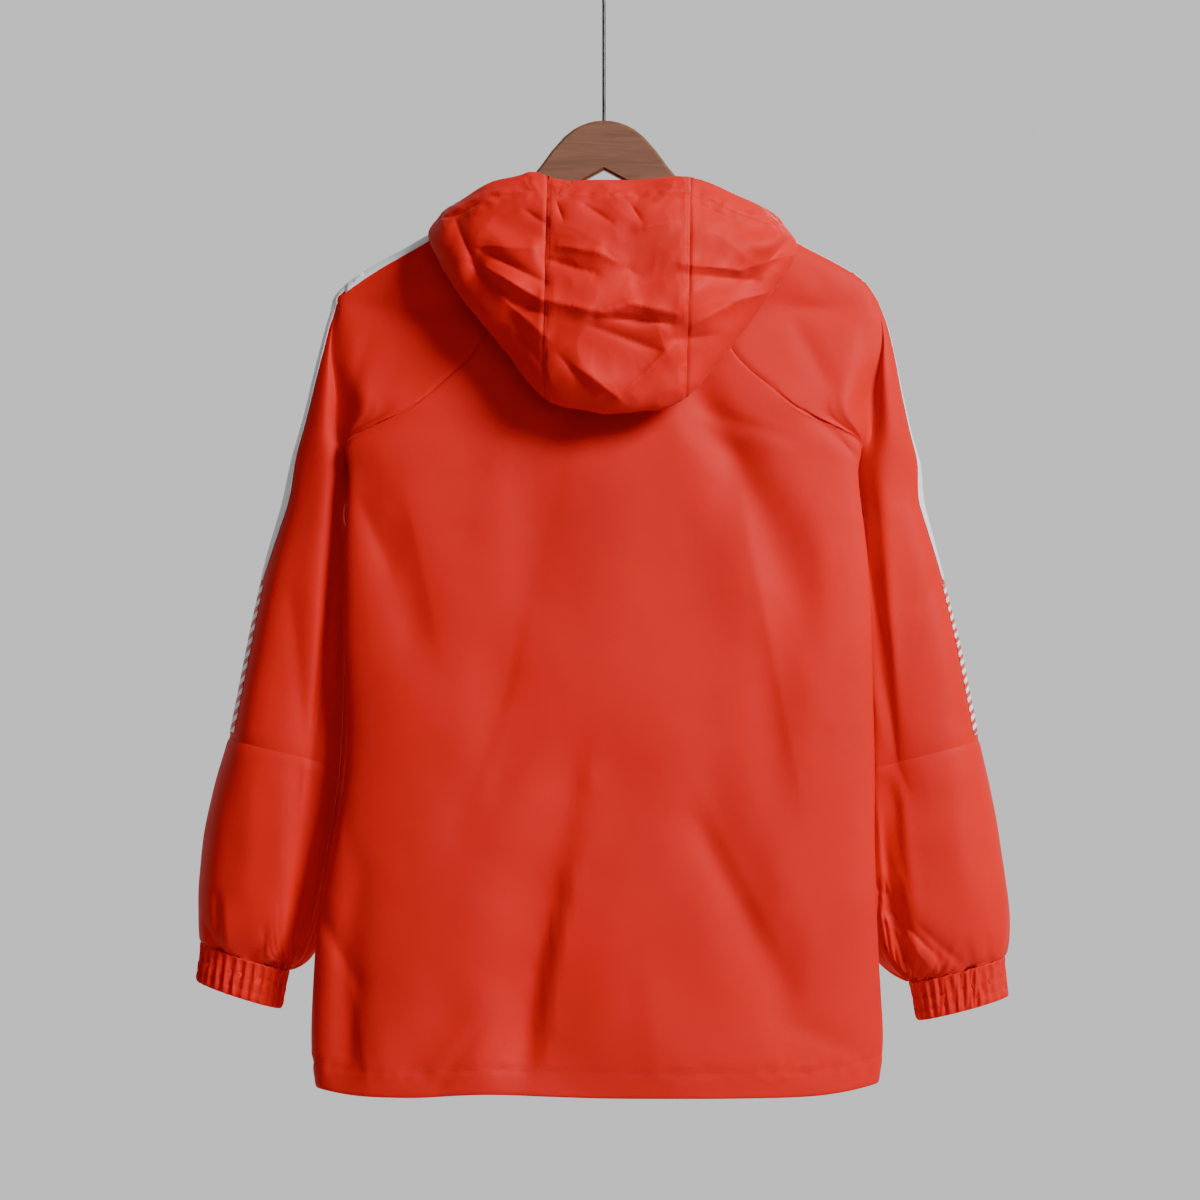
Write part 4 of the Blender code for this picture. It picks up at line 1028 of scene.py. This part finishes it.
thread = woven("red thread", (0.62, 0.02, 0.012, 1), (0.40, 0.010, 0.006, 1), 900.0, 0.55)
sewn = []
for name, (sheet, row) in seams.items():
    made = bmesh.new()
    made.from_mesh(sheet.data)
    cloth = BVHTree.FromBMesh(made)
    made.free()
    on_cloth = [cloth.find_nearest(place)[:2] for place, _ in row]
    line = copies_of(stitch, f"stitches_{name}", paces(on_cloth, STITCH_PITCH))
    line.data.materials.append(thread)
    sewn.append(line)
bpy.data.objects.remove(stitch)
print("stitch rows:", len(sewn), "triangles:", sum(2 * len(l.data.polygons) for l in sewn))

# %% [markdown]
# ## Turned hems
# The hem, the hood's rim and the cuff ends are turned to the inside, as a maker folds a raw edge
# away. The allowance is folded from the same cloth, row by row, just under the outer face.

# %% Turned edges
HEM_TURN, RIM_TURN, CUFF_TURN = HEM_ROW + 3, 9.0, 20.0      # allowances folded in, in mm
turn_in(back, reach=HEM_TURN, **edge_named("hem back"))
turn_in(hoods["centre"], reach=RIM_TURN, **edge_named("rim centre"))
for side in SIDES:
    turn_in(fronts[side], reach=HEM_TURN, **edge_named(f"hem {side}"))
    turn_in(hoods[f"side_{side}"], reach=RIM_TURN, **edge_named(f"rim {side}"))
    turn_in(cuffs[side], reach=CUFF_TURN, **edge_named(f"cuff {side}"))
for sheet in [*fronts.values(), *cuffs.values(), *tapes.values(), *zips.values()]:
    thicken(sheet)

# %% [markdown]
# ## Zip
# The front closes with a moulded zip. Its teeth alternate from the two tapes, so one tooth is
# modelled as a bevelled block and copied down both sides, half a pitch apart.

# %% Zip teeth
TOOTH_PITCH, ZIP_TOP, ZIP_END = 2.5, -312, -945
TOOTH_ASIDE, TOOTH_ABOVE = 0.75, 0.35      # from the zip's middle line and from its tape, in mm
bpy.ops.object.select_all(action="DESELECT")
bpy.ops.mesh.primitive_cube_add(size=MM)
tooth = bpy.context.object
bpy.ops.object.mode_set(mode="EDIT")
bpy.ops.mesh.select_all(action="SELECT")
bpy.ops.transform.resize(value=(1.15, 3.0, 1.7))
bpy.ops.mesh.bevel(offset=0.28 * MM, segments=1, affect="EDGES")
bpy.ops.object.mode_set(mode="OBJECT")
chain_line = beside_edge(zips["left"], 0.0, past=(-1, 40, -600), start=(-1, 28, -290), end=(-1, 52, -947))
frames = paces([(p, n) for p, n in chain_line if ZIP_END < p.z / MM < ZIP_TOP], 0.5 * TOOTH_PITCH)
shifted = []
for k, (place, along, up) in enumerate(frames):
    sideways = TOOTH_ASIDE * MM * (1 if k % 2 else -1)
    shifted.append((Vector((sideways, place.y, place.z)) + TOOTH_ABOVE * MM * up, along, up))
teeth = copies_of(tooth, "zip_teeth", shifted)
bpy.data.objects.remove(tooth)
teeth_plastic = woven("zip tooth plastic", (0.50, 0.014, 0.008, 1), (0.42, 0.010, 0.006, 1), 60.0, 0.35)
teeth.data.materials.append(teeth_plastic)
print("zip:", len(shifted), "teeth")

# %% [markdown]
# ## Hanger and zip pull
# These stay as the imported solids and only get their finish. The hanger's wood is stained beech:
# long grain along the arms, a few darker streaks, and a thin varnish. The wire is darkened steel.


# %% Wood, wire and satin metal
def wood(name):
    """Stained wood with its grain along X."""
    made, tree, shader, place = shader_of(name)
    long = add(tree, "ShaderNodeMapping", Scale=(3.0, 18.0, 34.0))
    tree.links.new(place, long.inputs["Vector"])
    rings = add(tree, "ShaderNodeTexNoise", Scale=3.2, Detail=8.0, Roughness=0.62, Distortion=1.4)
    tree.links.new(long.outputs["Vector"], rings.inputs["Vector"])
    grain = rings.outputs["Fac"]
    colour_by(tree, shader, grain, ((0.28, (0.10, 0.034, 0.013, 1)), (0.5, (0.17, 0.062, 0.026, 1)),
                                    (0.74, (0.23, 0.092, 0.042, 1))))
    gloss_by(tree, shader, grain, 0.34, 0.52)
    bump_by(tree, grain, 0.2, 0.0004, shader)
    shader.inputs["Coat Weight"].default_value = 0.25
    shader.inputs["Coat Roughness"].default_value = 0.25
    return made


def metal(name, colour, worn, metallic, rough):
    """Metal or painted metal with slight wear."""
    made, tree, shader, place = shader_of(name)
    patches = add(tree, "ShaderNodeTexNoise", Scale=160.0, Detail=6.0, Roughness=0.6)
    tree.links.new(place, patches.inputs["Vector"])
    colour_by(tree, shader, patches.outputs["Fac"], ((0.35, colour), (0.8, worn)))
    gloss_by(tree, shader, patches.outputs["Fac"], rough - 0.08, rough + 0.12)
    shader.inputs["Metallic"].default_value = metallic
    return made


def finish_node(name, finish):
    """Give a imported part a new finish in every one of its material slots."""
    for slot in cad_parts[name].material_slots:
        slot.material = finish


finish_node("hanger_wood", wood("stained wood"))
finish_node("hanger_hook", metal("dark wire", (0.035, 0.035, 0.04, 1), (0.09, 0.085, 0.08, 1), 0.9, 0.38))
satin = metal("satin zip metal", (0.55, 0.55, 0.56, 1), (0.68, 0.68, 0.69, 1), 0.92, 0.34)
for name in ("zip_slider", "zip_pull_tab"):
    finish_node(name, satin)

# %% [markdown]
# ## Riding and cut sizes
# Every piece moves with the jacket. The table below lists the rectangle that each sheet was cut
# from, in metres, and its flat area, since garment pieces are curved. Sleeves and cuffs are tubes,
# so their width is measured all round. The cuffs' cloth is gathered on elastic.

# %% Cut sizes
CUTS = {
    "back": (back, (0.62, 0.76), 0.341, "hung", "hanger_wood"),
    "front_left": (fronts["left"], (0.30, 0.74), 0.131, "hung", "hanger_wood"),
    "front_right": (fronts["right"], (0.30, 0.74), 0.131, "hung", "hanger_wood"),
    "sleeve_upper_left": (uppers["left"], (0.34, 0.52), 0.119, "hung", "hanger_wood"),
    "sleeve_upper_right": (uppers["right"], (0.34, 0.52), 0.120, "hung", "hanger_wood"),
    "sleeve_lower_left": (lowers["left"], (0.32, 0.22), 0.054, "gathered", "sleeve_upper_left"),
    "sleeve_lower_right": (lowers["right"], (0.32, 0.22), 0.058, "gathered", "sleeve_upper_right"),
    "cuff_left": (cuffs["left"], (0.27, 0.054), 0.0128, "gathered", "sleeve_lower_left"),
    "cuff_right": (cuffs["right"], (0.27, 0.054), 0.0130, "gathered", "sleeve_lower_right"),
    "hood_side_left": (hoods["side_left"], (0.26, 0.24), 0.038, "folded", "back"),
    "hood_centre": (hoods["centre"], (0.14, 0.40), 0.044, "folded", "back"),
    "hood_side_right": (hoods["side_right"], (0.26, 0.24), 0.039, "folded", "back"),
    "sleeve_tape_left": (tapes["tape_left"], (0.026, 0.28), 0.0066, "laid", "sleeve_upper_left"),
    "sleeve_tape_right": (tapes["tape_right"], (0.026, 0.28), 0.0066, "laid", "sleeve_upper_right"),
    "sleeve_trim_left": (tapes["trim_left"], (0.016, 0.128), 0.0019, "laid", "sleeve_upper_left"),
    "sleeve_trim_right": (tapes["trim_right"], (0.016, 0.128), 0.0019, "laid", "sleeve_upper_right"),
    "zip_tape_left": (zips["left"], (0.018, 0.68), 0.0115, "hung", "front_left"),
    "zip_tape_right": (zips["right"], (0.018, 0.68), 0.0115, "hung", "front_right"),
}
on_sheet = {sheet.name: [] for sheet, *_ in CUTS.values()}
for line in sewn:
    on_sheet[seams[line.name.removeprefix("stitches_")][0].name].append(line)
for node, (sheet, flat, area, held, carrier) in CUTS.items():
    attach(sheet, "jacket")
    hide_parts(node)
    measured = sum(p.area for p in sheet.data.polygons)
    print(f"{sheet.name}: {measured:.4f} m2 of cloth, {area} cut")
for side in SIDES:
    strip = tapes[f"shoulder_{side}"]
    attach(strip, "jacket")
for piece in [*sewn, teeth]:
    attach(piece, "jacket")
